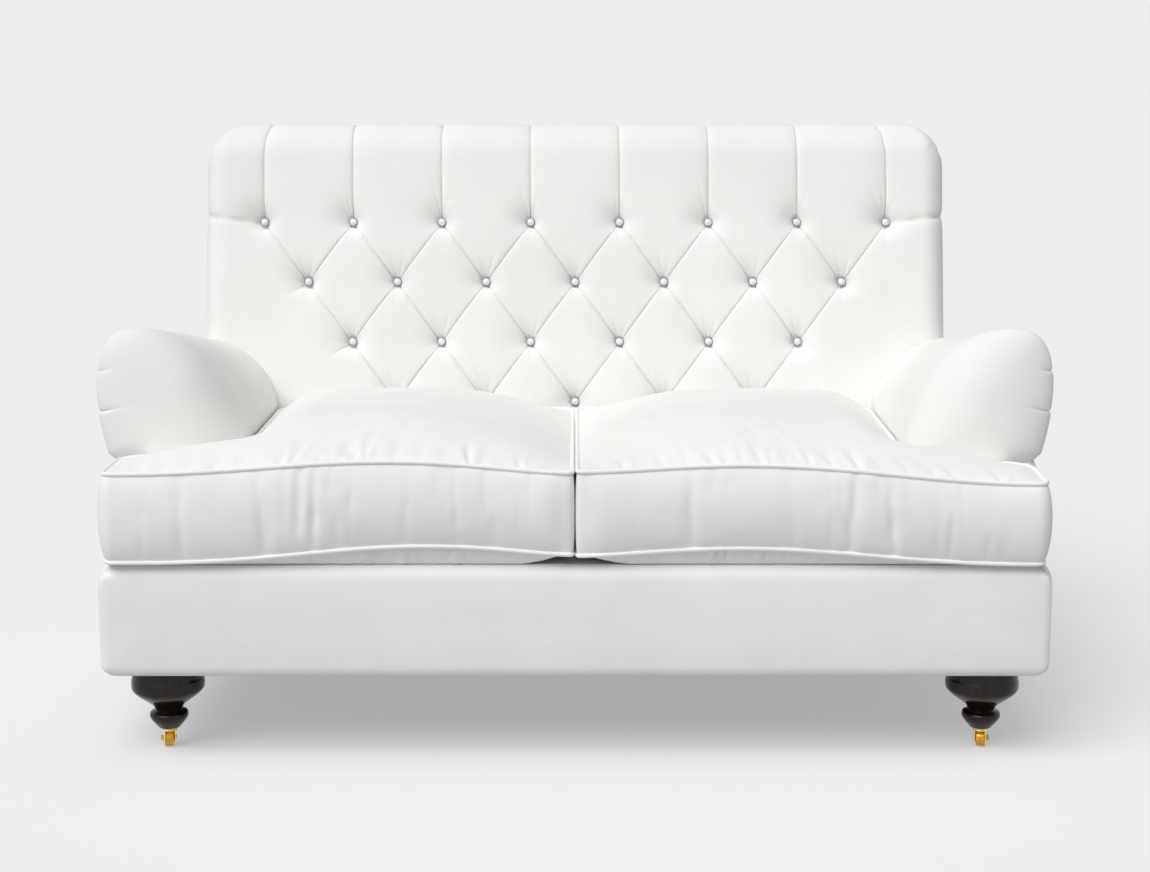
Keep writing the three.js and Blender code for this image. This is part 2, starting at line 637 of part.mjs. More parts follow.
// Arms: one outline, carried back along the arm and drawn in round the nose
const ARM_OUTLINE_SHARES = [[0, 0], [0.015, 0.16], [0.06, 0.32], [0.12, 0.48], [0.19, 0.63], [0.28, 0.77],
  [0.38, 0.88], [0.5, 0.96], [0.61, 1], [0.72, 1], [0.82, 0.95], [0.9, 0.86], [0.96, 0.73], [1, 0.55],
  [0.99, 0.38], [0.965, 0.22], [0.93, 0.08], [0.905, 0]];
const NOSE_SHARES = [0, 0.03, 0.1, 0.22, 0.42, 0.7, 1];
const NOSE_DRAW_SHARE = 0.8;
const NOSE_RISE_SHARE = 0.5;
const ARM_ALONG_SHARES = [0.12, 0.3, 0.5, 0.7, 0.85, 1];

function armHeight(d) {
  const slope = (ARM_REAR_HEIGHT - ARM_FRONT_HEIGHT) / (SOFA_DEPTH - ARM_FRONT);
  return ARM_FRONT_HEIGHT + slope * (d - ARM_FRONT);
}

// How far the nose is drawn in: a wide round inside the arm, a tight one outside and at the foot
function noseDraw(d, across, up) {
  const ease = THREE.MathUtils.smoothstep(across, 0, 1);
  const upper = THREE.MathUtils.lerp(ARM_NOSE_INNER_ROUND, ARM_NOSE_OUTER_ROUND, ease);
  const foot = Math.min(ARM_NOSE_ROUND, upper);
  const round = THREE.MathUtils.lerp(foot, upper, THREE.MathUtils.smoothstep(up, 0, NOSE_RISE_SHARE));
  const left = Math.max(0, round - (d - ARM_FRONT));
  return NOSE_DRAW_SHARE * (round - Math.sqrt(round * round - left * left));
}

function armRing(d) {
  const width = SOFA_WIDTH / 2 - armInner;
  const rise = armHeight(d) - armFootLevel;
  const centre = new THREE.Vector2(armInner + width / 2, armFootLevel);
  const ring = ARM_OUTLINE_SHARES.map(([across, up]) => {
    const point = new THREE.Vector2(armInner + width * across, armFootLevel + rise * up);
    const away = point.clone().sub(centre);
    const shrink = 1 - noseDraw(d, across, up) / Math.max(width / 2, away.length());
    return centre.clone().add(away.multiplyScalar(shrink));
  });
  const side = noseDraw(d, 0, 0) * (1 - BORDER_ROUND / ARM_NOSE_ROUND);
  const outer = Math.min(sidePanelIn - FIT_GAP, ring[ring.length - 1].x - SOFT_GAP);
  ring.push(new THREE.Vector2(outer, armFootLevel), new THREE.Vector2(outer, BASE_TOP + FIT_GAP));
  ring.push(new THREE.Vector2(armInner + side, BASE_TOP + FIT_GAP));
  return ring.map((p) => new THREE.Vector3(p.x, depthAt(d), p.y));
}

function addArms() {
  const rings = NOSE_SHARES.map((share) => armRing(ARM_FRONT + share * ARM_NOSE_INNER_ROUND));
  for (const share of ARM_ALONG_SHARES) {
    rings.push(armRing(THREE.MathUtils.lerp(ARM_FRONT + ARM_NOSE_INNER_ROUND, SOFA_DEPTH, share)));
  }
  const postFront = depthAt(ARM_FRONT + ARM_NOSE_ROUND);
  const slotOut = sidePanelIn + ARM_SLOT_IN_PANEL;
  const postOutX = sideRailOut;
  const postInX = sideRailIn;
  const slotEnd = rearRailBack;
  const slot = block(slotOut - ARM_SLOT_WIDTH, slotOut, postFront - SOFT_GAP, slotEnd, 0, armSlotTop);
  const reach = SOFA_HEIGHT;
  const faceTilt = new THREE.Matrix4().makeRotationX(-Math.atan(taper));
  const backSide = backHalf + SOFT_GAP;
  const notch = block(-backSide, backSide, 0, reach, -reach, reach);
  notch.applyMatrix4(faceTilt);
  notch.translate(0, -buttonDepth(0) - PUFF - SOFT_GAP, 0);
  const space = fromBackFrame(notch);
  for (const [name, side] of [['left', -1], ['right', 1]]) {
    const pad = cut(loft(rings, ['x', 'z']), slot, space, behindBack(0));
    pad.scale(side, 1, 1);
    addPiece(`${name}_arm_pad`, side < 0 ? flipped(pad) : pad, 'cloth');
    const x0 = side > 0 ? postInX : -postOutX;
    const x1 = side > 0 ? postOutX : -postInX;
    const railBottomLevel = armRailTop - ARM_RAIL_HEIGHT;
    addPiece(`${name}_arm_front_post`, block(x0, x1, postFront, postFront + ARM_POST_DEPTH,
      railTop + FIT_GAP, railBottomLevel - FIT_GAP), 'beech');
    addPiece(`${name}_arm_rear_post`, block(x0, x1, slotEnd - SOFT_GAP - ARM_POST_DEPTH, slotEnd - SOFT_GAP,
      railTop + FIT_GAP, railBottomLevel - FIT_GAP), 'beech');
    addPiece(`${name}_arm_top_rail`, block(x0, x1, postFront, slotEnd - SOFT_GAP,
      railBottomLevel, armRailTop), 'beech');
  }
}

// A mirrored geometry has its triangles turned round, so that they point out again
function flipped(geometry) {
  const index = geometry.getIndex().array;
  const turned = [];
  for (let i = 0; i < index.length; i += 3) turned.push(index[i], index[i + 2], index[i + 1]);
  geometry.setIndex(turned);
  return geometry;
}

// How far the folds reach past the last buttons, and how flat they are at the top edge
const FADE_SHARE = 2;
const PLEAT_EASE_SHARE = 0.45;

// Back pad: the puff of its tufted front between the buttons, 0 at a button and 1 at its fullest
function fold(x, along) {
  const half = buttonPitch / 2;
  const level = (Math.min(along, topRowLevel) - topRowLevel) / rowStep;
  const rising = Math.abs(x) / half + level;
  const falling = Math.abs(x) / half - level;
  const wave = (n) => Math.abs(Math.cos((Math.PI * n) / 2));
  const ends = TOP_ROW_BUTTONS - 1;
  const outside = THREE.MathUtils.smoothstep(falling, ends, ends + FADE_SHARE);
  const a = THREE.MathUtils.lerp(wave(rising), 1, outside);
  const b = falling > ends ? Math.max(wave(Math.min(falling, ends + 1)), outside) : wave(falling);
  const diamond = (Math.sqrt(a * b) + Math.sqrt((a + b) / 2)) / 2;
  const pleatEase = THREE.MathUtils.smoothstep(along, topRowLevel, backTopAlong);
  return THREE.MathUtils.lerp(diamond, 1, pleatEase * PLEAT_EASE_SHARE);
}

function rollDrop(distance, radius) {
  if (distance >= radius) return 0;
  return radius - Math.sqrt(radius * radius - (radius - distance) * (radius - distance));
}

function backHalfAt(along) {
  const into = along - (backTopAlong - BACK_CORNER_RADIUS);
  if (into <= 0) return backHalf;
  const up = Math.min(into, BACK_CORNER_RADIUS);
  return backHalf - BACK_CORNER_RADIUS + Math.sqrt(BACK_CORNER_RADIUS ** 2 - up ** 2);
}

function backFront(x, along) {
  const lowest = topRowLevel - (BUTTON_ROWS - 1) * rowStep;
  const covered = THREE.MathUtils.smoothstep(lowest - along, 0, rowStep / 2);
  const puff = THREE.MathUtils.lerp(PUFF, COVERED_PUFF, covered);
  const top = rollDrop(backTopAlong - along, BACK_TOP_ROLL);
  const sideways = rollDrop(backHalfAt(along) - Math.abs(x), BACK_SIDE_ROLL);
  return buttonDepth(along) + puff * fold(x, along) - Math.hypot(top, sideways);
}

const BACK_EDGE_SHARES = [0.3, 0.6, 0.85, 1];
const BACK_CROWN_SHARES = [0.22, 0.44, 0.64, 0.76, 0.86, 0.94, 1];

function backGrid() {
  const columns = [];
  const step = buttonPitch / 4;
  const steps = (TOP_ROW_BUTTONS - 1) * 2;
  for (let i = 0; i <= steps; i += 1) columns.push(i * step);
  const edge = backHalf - steps * step;
  for (const share of BACK_EDGE_SHARES) columns.push(steps * step + edge * share);
  const across = [...columns.slice(1).reverse().map((x) => -x), ...columns];
  const levels = [];
  const rise = rowStep / 2;
  for (let k = BUTTON_ROWS * 2 + 1; k >= 0; k -= 1) levels.push(topRowLevel - k * rise);
  for (const share of BACK_CROWN_SHARES) levels.push(THREE.MathUtils.lerp(topRowLevel, backTopAlong, share));
  return { across, levels };
}

function backPadGeometry() {
  const { across, levels } = backGrid();
  const points = [];
  for (const along of levels) {
    for (const x of across) {
      const placed = (x / backHalf) * backHalfAt(along);
      const inner = Math.abs(x) <= buttonPitch * (TOP_ROW_BUTTONS - 1) / 2;
      const place = inner && backHalfAt(along) === backHalf ? x : placed;
      const out = along === backTopAlong ? BACK_TOP_FLAT : backFront(place, along);
      points.push(new THREE.Vector3(place, -out, along));
    }
  }
  const wide = across.length;
  const tall = levels.length;
  const triangles = [];
  for (let j = 0; j < tall - 1; j += 1) {
    for (let i = 0; i < wide - 1; i += 1) {
      const a = j * wide + i;
      const up = a + wide;
      if ((i + j) % 2 === 0) triangles.push([a, a + 1, up + 1], [a, up + 1, up]);
      else triangles.push([a, a + 1, up], [a + 1, up + 1, up]);
    }
  }
  const rim = [];
  for (let i = 0; i < wide - 1; i += 1) rim.push(i);
  for (let j = 0; j < tall - 1; j += 1) rim.push(j * wide + wide - 1);
  for (let i = wide - 1; i > 0; i -= 1) rim.push((tall - 1) * wide + i);
  for (let j = tall - 1; j > 0; j -= 1) rim.push(j * wide);
  const rear = rim.map((id) => points.push(new THREE.Vector3(points[id].x, 0, points[id].z)) - 1);
  rim.forEach((id, k) => {
    const next = (k + 1) % rim.length;
    triangles.push([id, rear[k], rim[next]], [rim[next], rear[k], rear[next]]);
  });
  const flat = rear.map((id) => new THREE.Vector2(points[id].x, points[id].z));
  for (const [i, j, k] of THREE.ShapeUtils.triangulateShape(flat, [])) {
    triangles.push([rear[i], rear[k], rear[j]]);
  }
  return skin(points, triangles);
}

function buttonPlaces(row) {
  const count = TOP_ROW_BUTTONS - row;
  const along = topRowLevel - row * rowStep;
  return Array.from({ length: count }, (_, i) => ({ x: (i - (count - 1) / 2) * buttonPitch, along }));
}

const BUTTON_SHARES = [[0.8, 0], [1, 0.4], [0.6, 0.85], [0, 1]];

// A button, its shank and the twine that ties it to the strap behind the pad
function buttonRow(row) {
  const strapFront = BACK_POCKET_DEPTH - FIT_GAP;
  const places = buttonPlaces(row);
  const half = places[places.length - 1].x + STRAP_END;
  const along = places[0].along;
  const strap = block(-half, half, -strapFront, -strapFront + STRAP_THICK, along - STRAP_WIDTH / 2,
    along + STRAP_WIDTH / 2);
  const seat = buttonDepth(along) + BUTTON_STAND_OFF;
  const twineEnd = strapFront - STRAP_THICK / 2;
  const profile = [[0, twineEnd], [TWINE_RADIUS, twineEnd], [TWINE_RADIUS, seat]];
  for (const [out, up] of BUTTON_SHARES) profile.push([BUTTON_RADIUS * out, seat + BUTTON_THICK * up]);
  const buttons = places.map(({ x }) => {
    const button = new THREE.LatheGeometry(profile.map(toPoint), 8);
    button.rotateX(Math.PI);
    button.translate(x, 0, along);
    return button;
  });
  return join(strap, ...buttons);
}

function addBack() {
  const pocket = block(-pocketHalf, pocketHalf, -BACK_POCKET_DEPTH, CUT_OVERRUN, -CUT_OVERRUN,
    pocketTopAlong);
  const holes = [];
  for (let row = 0; row < BUTTON_ROWS; row += 1) {
    for (const { x, along } of buttonPlaces(row)) {
      const hole = new THREE.CylinderGeometry(TWINE_RADIUS + TWINE_CLEARANCE, TWINE_RADIUS + TWINE_CLEARANCE,
        SOFA_DEPTH, 5);
      hole.translate(x, 0, along);
      holes.push(hole);
    }
  }
  backGroup.updateMatrix();
  const floorBox = block(-SOFA_WIDTH, SOFA_WIDTH, -SOFA_DEPTH, SOFA_DEPTH, 0, BASE_TOP + FIT_GAP);
  floorBox.applyMatrix4(backGroup.matrix.clone().invert());
  addPiece('back_pad', cut(backPadGeometry(), pocket, floorBox, ...holes), 'cloth', backGroup);
  for (let row = 0; row < BUTTON_ROWS; row += 1) {
    addPiece(`button_row_${row + 1}`, buttonRow(row), 'pearl', backGroup);
  }
  const postBottom = (railTop + FIT_GAP - BASE_BOTTOM) / Math.cos(rake);
  const postTop = pocketTopAlong - SOFT_GAP;
  for (const [name, side] of [['left', -1], ['right', 1]]) {
    const x0 = side > 0 ? postIn : -postOut;
    const x1 = side > 0 ? postOut : -postIn;
    addPiece(`${name}_back_post`, block(x0, x1, -BACK_RAIL_THICK - FIT_GAP, -FIT_GAP, postBottom, postTop),
      'beech', backGroup);
  }
  const levels = [
    ['back_top_rail', postTop - BACK_RAIL_HEIGHT],
    ['back_bottom_rail', footAlong + BACK_BOTTOM_RAIL_RISE],
  ];
  for (const [name, level] of levels) {
    addPiece(name, block(-postIn + FIT_GAP, postIn - FIT_GAP, -BACK_RAIL_THICK - FIT_GAP, -FIT_GAP, level,
      level + BACK_RAIL_HEIGHT), 'beech', backGroup);
  }
  addPiece('outside_back_panel', backPanelGeometry(), 'cloth', backGroup);
}

// The outside back: wide behind the arms, then narrower behind the back, with round top corners
function backPanelGeometry() {
  const r = BACK_CORNER_RADIUS;
  const outline = new THREE.Shape();
  outline.moveTo(-sidePanelOut, 0);
  outline.lineTo(sidePanelOut, 0);
  outline.lineTo(sidePanelOut, shoulderLevel - r);
  outline.quadraticCurveTo(sidePanelOut, shoulderLevel, backHalf, shoulderLevel);
  outline.lineTo(backHalf, panelTopAlong - r);
  outline.absarc(backHalf - r, panelTopAlong - r, r, 0, Math.PI / 2, false);
  outline.absarc(-backHalf + r, panelTopAlong - r, r, Math.PI / 2, Math.PI, false);
  outline.lineTo(-backHalf, shoulderLevel);
  outline.quadraticCurveTo(-sidePanelOut, shoulderLevel, -sidePanelOut, shoulderLevel - r);
  outline.closePath();
  const panel = new THREE.ExtrudeGeometry(outline, {
    depth: BACK_PANEL_THICK, curveSegments: 8, bevelEnabled: false,
  });
  panel.rotateX(Math.PI / 2);
  panel.translate(0, panelBack, 0);
  return panel;
}

// Seat cushions: half a T in plan, arched across the front, crowned on top
function edgeDistance(x, y) {
  const inside = Math.max(0, cushionArmSide - x);
  const notch = y > earDepth ? inside : Math.hypot(inside, earDepth - y);
  return Math.max(0, Math.min(x - CUSHION_HALF_GAP, y, cushionDepth - y, earEnd - x, notch));
}

function archedSeam(x, inner, middle, corner) {
  const from = x < seamMiddle ? CUSHION_HALF_GAP : earEnd;
  const end = x < seamMiddle ? inner : corner;
  const share = (x - seamMiddle) / (from - seamMiddle);
  return BASE_TOP + middle + (end - middle) * share * share;
}

function topSeam(x, y) {
  const front = archedSeam(x, SEAM_TOP_INNER, SEAM_TOP_MIDDLE, SEAM_TOP_CORNER);
  return THREE.MathUtils.lerp(front, BASE_TOP + SEAM_TOP_REAR, y / cushionDepth);
}

function lowSeam(x, y) {
  const front = archedSeam(x, SEAM_LOW_INNER, SEAM_LOW_MIDDLE, SEAM_LOW_CORNER);
  return THREE.MathUtils.lerp(front, BASE_TOP + SEAM_LOW_REAR, y / cushionDepth);
}

function cushionTop(x, y) {
  const near = Math.min(edgeDistance(x, y) / CROWN_REACH, 1);
  const dome = 1 - (1 - near) ** 2;
  const ear = THREE.MathUtils.smoothstep(x, seamMiddle, earEnd);
  return topSeam(x, y) + CUSHION_CROWN * dome * THREE.MathUtils.lerp(1, EAR_CROWN_SHARE, ear);
}

function cushionUnderside(x, y) {
  const near = Math.min(edgeDistance(x, y) / UNDERSIDE_REACH, 1);
  return THREE.MathUtils.lerp(lowSeam(x, y), BASE_TOP + FIT_GAP, 1 - (1 - near) ** 2);
}

const SEAT_ACROSS_SHARES = [0, 0.05, 0.15, 0.3, 0.45, 0.6, 0.75, 0.88, 0.96, 1];
const EAR_ACROSS_SHARES = [0, 0.2, 0.45, 0.7, 0.9, 1];
const SEAT_ALONG_SHARES = [0, 0.04, 0.12, 0.24, 0.4, 0.56, 0.72, 0.86, 0.95, 1];

function cushionShell() {
  const columns = [
    ...SEAT_ACROSS_SHARES.map((s) => ({
      x: THREE.MathUtils.lerp(CUSHION_HALF_GAP, cushionArmSide, s), depth: cushionDepth })),
    ...EAR_ACROSS_SHARES.map((s) => ({
      x: THREE.MathUtils.lerp(earStart, earEnd, s), depth: earDepth })),
  ];
  const rows = SEAT_ALONG_SHARES;
  const plan = rows.map((t) => columns.map(({ x, depth }) => new THREE.Vector2(x, t * depth)));
  const wide = columns.length;
  const tall = rows.length;
  const points = [];
  for (const { x, y } of plan.flat()) points.push(new THREE.Vector3(x, y, cushionTop(x, y)));
  const below = points.length;
  for (const { x, y } of plan.flat()) points.push(new THREE.Vector3(x, y, cushionUnderside(x, y)));
  const triangles = [];
  for (let j = 0; j < tall - 1; j += 1) {
    for (let i = 0; i < wide - 1; i += 1) {
      const a = j * wide + i;
      const up = a + wide;
      triangles.push([a, a + 1, up + 1], [a, up + 1, up]);
      triangles.push([below + a, below + up + 1, below + a + 1], [below + a, below + up, below + up + 1]);
    }
  }
  const rim = [];
  for (let i = 0; i < wide - 1; i += 1) rim.push(i);
  for (let j = 0; j < tall - 1; j += 1) rim.push(j * wide + wide - 1);
  for (let i = wide - 1; i > 0; i -= 1) rim.push((tall - 1) * wide + i);
  for (let j = tall - 1; j > 0; j -= 1) rim.push(j * wide);
  const rings = boxingRings(rim.map((id) => points[id]));
  let upper = rim;
  for (const ring of rings) {
    const ids = ring.map((p) => points.push(p) - 1);
    strip(triangles, upper, ids);
    upper = ids;
  }
  strip(triangles, upper, rim.map((id) => id + below));
  const geometry = skin(points, triangles);
  geometry.translate(0, seamPlane, 0);
  return geometry;
}

function strip(triangles, upper, lower) {
  upper.forEach((id, k) => {
    const next = (k + 1) % upper.length;
    triangles.push([id, lower[k], upper[next]], [upper[next], lower[k], lower[next]]);
  });
}

// The piping and the boxing: a place down from the seam, and how far out it stands there
const PIPING_SHARES = [[0.5, 1], [1.5, 1], [2, 0]];
const SWELL_SHARES = [[0.25, 0.72], [0.5, 1], [0.75, 0.72]];
const FRONT_FACING_SHARE = 0.9;
const SIDE_FACING_SHARE = 0.5;

// How far the boxing swells past its seams, by the way that it faces
function swellTowards(normal, x) {
  if (normal.y < -FRONT_FACING_SHARE) return CUSHION_SWELL;
  if (normal.x > SIDE_FACING_SHARE && x > (earStart + earEnd) / 2) return CUSHION_SIDE_SWELL;
  return CUSHION_INNER_SWELL;
}

// Rings from the top seam to the bottom seam, each a share of the boxing's height down
function boxingRings(rim) {
  const count = rim.length;
  const outward = rim.map((p, k) => {
    const before = rim[(k + count - 1) % count];
    const after = rim[(k + 1) % count];
    return new THREE.Vector2(after.y - before.y, before.x - after.x).normalize();
  });
  const rings = [];
  const place = (drop, out) => rim.map((p, k) => {
    const n = outward[k];
    return new THREE.Vector3(p.x + n.x * out(n, p.x), p.y + n.y * out(n, p.x), drop(p));
  });
  for (const [down, out] of PIPING_SHARES) {
    rings.push(place((p) => topSeam(p.x, p.y) - down * PIPING_RADIUS, () => out * PIPING_RADIUS));
  }
  for (const [share, out] of SWELL_SHARES) {
    rings.push(place((p) => THREE.MathUtils.lerp(topSeam(p.x, p.y), lowSeam(p.x, p.y), share),
      (n, x) => out * swellTowards(n, x)));
  }
  for (const [up, out] of [...PIPING_SHARES].reverse()) {
    rings.push(place((p) => lowSeam(p.x, p.y) + up * PIPING_RADIUS, () => out * PIPING_RADIUS));
  }
  return rings;
}

// The foam core, or with a gap the space that it fills
function coreGeometry(gap) {
  const x0 = CUSHION_HALF_GAP + CORE_WRAP - gap;
  const y0 = depthAt(CORE_WRAP) - gap;
  const seatEnd = cushionArmSide - CORE_WRAP + gap;
  const earOut = earEnd - CORE_WRAP + gap;
  const earBack = depthAt(earDepth - CORE_WRAP) + gap;
  const outline = new THREE.Shape();
  outline.moveTo(x0, y0);
  outline.lineTo(earOut, y0);
  outline.lineTo(earOut, earBack);
  outline.lineTo(seatEnd, earBack);
  outline.lineTo(seatEnd, depthAt(cushionDepth - CORE_WRAP) + gap);
  outline.lineTo(x0, depthAt(cushionDepth - CORE_WRAP) + gap);
  outline.closePath();
  const geometry = new THREE.ExtrudeGeometry(outline, {
    depth: coreTop - coreBottom + 2 * gap, bevelEnabled: false,
  });
  geometry.translate(0, 0, coreBottom - gap);
  return geometry;
}

function addCushions() {
  const middle = (CUSHION_HALF_GAP + cushionArmSide) / 2;
  const rear = depthAt(cushionDepth);
  const zipSpace = block(middle - ZIP_LENGTH / 2, middle + ZIP_LENGTH / 2, rear - CORE_WRAP - SOFT_GAP,
    rear + CUT_OVERRUN, zipLevel - ZIP_HEIGHT / 2, zipLevel + ZIP_HEIGHT / 2);
  const cover = cut(cushionShell(), coreGeometry(CORE_GAP), zipSpace);
  const zip = block(middle - ZIP_LENGTH / 2 + FIT_GAP, middle + ZIP_LENGTH / 2 - FIT_GAP,
    rear + CUSHION_INNER_SWELL - ZIP_DEPTH, rear + CUSHION_INNER_SWELL + FIT_GAP,
    zipLevel - ZIP_HEIGHT / 2 + FIT_GAP, zipLevel + ZIP_HEIGHT / 2 - FIT_GAP);
  const zipFace = rear + CUSHION_INNER_SWELL + 2 * FIT_GAP;
  const slider = block(middle - ZIP_LENGTH / 2 + FIT_GAP, middle - ZIP_LENGTH / 2 + FIT_GAP + SLIDER_LENGTH,
    zipFace, zipFace + SLIDER_THICK, zipLevel - SLIDER_HEIGHT / 2, zipLevel + SLIDER_HEIGHT / 2);
  for (const [name, side] of [['left', -1], ['right', 1]]) {
    const put = (piece, geometry, finish) => {
      const copy = geometry.clone().scale(side, 1, 1);
      addPiece(piece, side < 0 ? flipped(mergeIndexed(copy)) : copy, finish);
    };
    put(`${name}_cushion_cover`, cover, 'cloth');
    put(`${name}_cushion_core`, coreGeometry(0), 'foam');
    put(`${name}_cushion_zip`, zip, 'cloth');
    put(`${name}_zip_slider`, slider, 'steel');
  }
}

function mergeIndexed(geometry) {
  if (geometry.getIndex()) return geometry;
  return mergeVertices(geometry);
}

addBase();
addOuterPanels();
addFrontLegs();
addRearLegs();
addArms();
addBack();
addCushions();

export default sofa;
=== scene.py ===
# %% [markdown]
# # A white button-back sofa, dressed around its frame
# The sofa has a beech frame, loose T-shaped seat cushions with piping, low rolled arms, a deep-buttoned back
# and turned legs on brass castors. The frame, its sizes and its joints are already packed, so the upholstery
# is not fitted by eye: each piece takes its place from the frame. Millimetres are used for the shapes, as a
# pattern cutter would, and every point is turned to metres at the end.

# %% Load the frame
import json
import math
import random

import bmesh
import bpy
import numpy as np
from mathutils import Matrix, Vector

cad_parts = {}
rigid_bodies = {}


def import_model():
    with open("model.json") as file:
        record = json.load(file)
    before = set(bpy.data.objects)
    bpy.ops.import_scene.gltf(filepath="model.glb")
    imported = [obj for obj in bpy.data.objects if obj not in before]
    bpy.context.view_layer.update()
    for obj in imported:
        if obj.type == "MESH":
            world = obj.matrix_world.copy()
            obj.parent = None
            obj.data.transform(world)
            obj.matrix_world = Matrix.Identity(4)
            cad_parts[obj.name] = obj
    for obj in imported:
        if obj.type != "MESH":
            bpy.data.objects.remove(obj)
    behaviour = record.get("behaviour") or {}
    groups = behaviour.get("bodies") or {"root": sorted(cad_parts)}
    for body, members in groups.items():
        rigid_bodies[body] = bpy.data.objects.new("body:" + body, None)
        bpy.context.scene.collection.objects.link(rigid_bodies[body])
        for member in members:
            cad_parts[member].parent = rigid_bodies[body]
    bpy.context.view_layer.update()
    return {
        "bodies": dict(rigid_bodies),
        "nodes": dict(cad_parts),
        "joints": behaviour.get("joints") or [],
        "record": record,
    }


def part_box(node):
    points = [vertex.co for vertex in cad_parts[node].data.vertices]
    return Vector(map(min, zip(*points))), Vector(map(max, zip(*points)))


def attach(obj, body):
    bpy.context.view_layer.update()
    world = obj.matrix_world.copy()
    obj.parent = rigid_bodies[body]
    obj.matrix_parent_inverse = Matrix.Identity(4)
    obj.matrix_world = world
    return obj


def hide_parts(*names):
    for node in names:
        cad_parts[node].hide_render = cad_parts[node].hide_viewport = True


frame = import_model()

MM = 0.001

# %% [markdown]
# ## The camera
# The photograph was taken from a little above the seat, straight on. A pinhole camera fitted to the lean of
# the legs and the piping of the cushions gives its height, pitch and focal length. A long lens with no shift
# keeps the sides of the sofa nearly parallel, as the photograph shows them.

# %% Camera
LENS_MM, SENSOR_MM = 63.57, 36.0
CAMERA_BACK, CAMERA_HEIGHT, CAMERA_PITCH = 3.546, 1.0954, 10.3
camera_data = bpy.data.cameras.new("camera")
camera_data.lens = LENS_MM
camera_data.sensor_width = SENSOR_MM
camera_data.sensor_fit = "HORIZONTAL"
camera = bpy.data.objects.new("camera", camera_data)
camera.location = (0.0, -CAMERA_BACK, CAMERA_HEIGHT)
camera.rotation_euler = (math.radians(90 - CAMERA_PITCH), 0.0, 0.0)
bpy.context.collection.objects.link(camera)
bpy.context.scene.camera = camera
print("camera at", tuple(round(v, 3) for v in camera.location))

# %% [markdown]
# ## A node helper for every finish
# A material is a small graph. Building one by hand in a script is long-winded, so one function adds a node
# and takes its settings and its links together. Colours are written as the hex values that a paint chart
# gives, and one function turns them into the linear light that a shader adds up.

# %% Shader helpers
def linear(hex_colour):
    """An sRGB hex colour as linear RGBA."""
    channels = [int(hex_colour[i:i + 2], 16) / 255 for i in (1, 3, 5)]
    return [c / 12.92 if c <= 0.04045 else ((c + 0.055) / 1.055) ** 2.4 for c in channels] + [1.0]


def add_node(tree, kind, sockets=None, **settings):
    """One node, with its settings; a socket is given a value, or linked to another node's output."""
    new = tree.nodes.new(kind)
    for name, value in settings.items():
        setattr(new, name, value)
    for name, value in (sockets or {}).items():
        if isinstance(value, bpy.types.NodeSocket):
            tree.links.new(value, new.inputs[name])
        else:
            new.inputs[name].default_value = value
    return new


def start_material(name):
    """A new material, its tree and the object coordinates in metres."""
    material = bpy.data.materials.new(name)
    material.use_nodes = True
    tree = material.node_tree
    tree.nodes.clear()
    return material, tree, add_node(tree, "ShaderNodeTexCoord").outputs["Object"]


def end_material(tree, colour, roughness, height=None, depth_mm=0.0, **constants):
    """The shader: colour and roughness may vary, the constants sit on its own sockets."""
    sockets = {"Base Color": colour, "Roughness": roughness}
    sockets.update({name.replace("_", " "): value for name, value in constants.items()})
    if height is not None:
        bump = add_node(tree, "ShaderNodeBump", {"Height": height, "Distance": depth_mm * MM})
        sockets["Normal"] = bump.outputs["Normal"]
    shader = add_node(tree, "ShaderNodeBsdfPrincipled", sockets)
    add_node(tree, "ShaderNodeOutputMaterial", {"Surface": shader.outputs["BSDF"]})


def grain(tree, place, size_mm, detail=2.0, stretch=(1, 1, 1), kind="ShaderNodeTexNoise"):
    """A noise whose grains are about size_mm across, longer where stretch is more than 1."""
    scale = tuple(1 / (size_mm * MM * s) for s in stretch)
    mapping = add_node(tree, "ShaderNodeMapping", {"Vector": place, "Scale": scale})
    sockets = {"Vector": mapping.outputs["Vector"], "Scale": 1.0}
    if kind == "ShaderNodeTexNoise":
        sockets["Detail"] = detail
        return add_node(tree, kind, sockets).outputs["Fac"]
    return add_node(tree, kind, sockets).outputs["Distance"]


def between(tree, factor, low, high, low_at=0.3, high_at=0.7):
    """A factor turned into a colour or a number between two ends."""
    ramp = add_node(tree, "ShaderNodeMapRange", {"Value": factor, "From Min": low_at, "From Max": high_at})
    if isinstance(low, str):
        mix = add_node(tree, "ShaderNodeMix", {"Factor": ramp.outputs["Result"], 6: linear(low), 7: linear(high)},
                       data_type="RGBA")
        return mix.outputs[2]
    ramp.inputs["To Min"].default_value = low
    ramp.inputs["To Max"].default_value = high
    return ramp.outputs["Result"]


def math_node(tree, operation, first, second=0.0, third=0.0):
    """One sum on up to three values or outputs."""
    return add_node(tree, "ShaderNodeMath", {0: first, 1: second, 2: third}, operation=operation).outputs[0]


print("white cotton as linear light:", [round(c, 3) for c in linear("#f4f4f2")])

# %% [markdown]
# ## The white cloth
# The cover is a washed cotton drill: a tight, matt weave that stays smooth from across a room. Its threads
# are about 0.5 mm apart, too fine for this picture, so the weave is drawn at 1.6 mm and kept very shallow.
# Over it lies a soft unevenness, as wide as a hand's breadth, where the wadding underneath is not quite
# even. Two crossed ripples on object coordinates give the same thread size on every piece.

# %% Cotton drill
THREAD_MM, WADDING_MM, BREADTH_MM = 1.6, 42, 150


def thread_ripple(tree, place, axis):
    """A ripple of 0 to 1 along one axis, a thread wide."""
    split = add_node(tree, "ShaderNodeSeparateXYZ", {"Vector": place}).outputs[axis]
    wave = math_node(tree, "SINE", math_node(tree, "MULTIPLY", split, 2 * math.pi / (THREAD_MM * MM)))
    return math_node(tree, "MULTIPLY_ADD", wave, 0.5, 0.5)


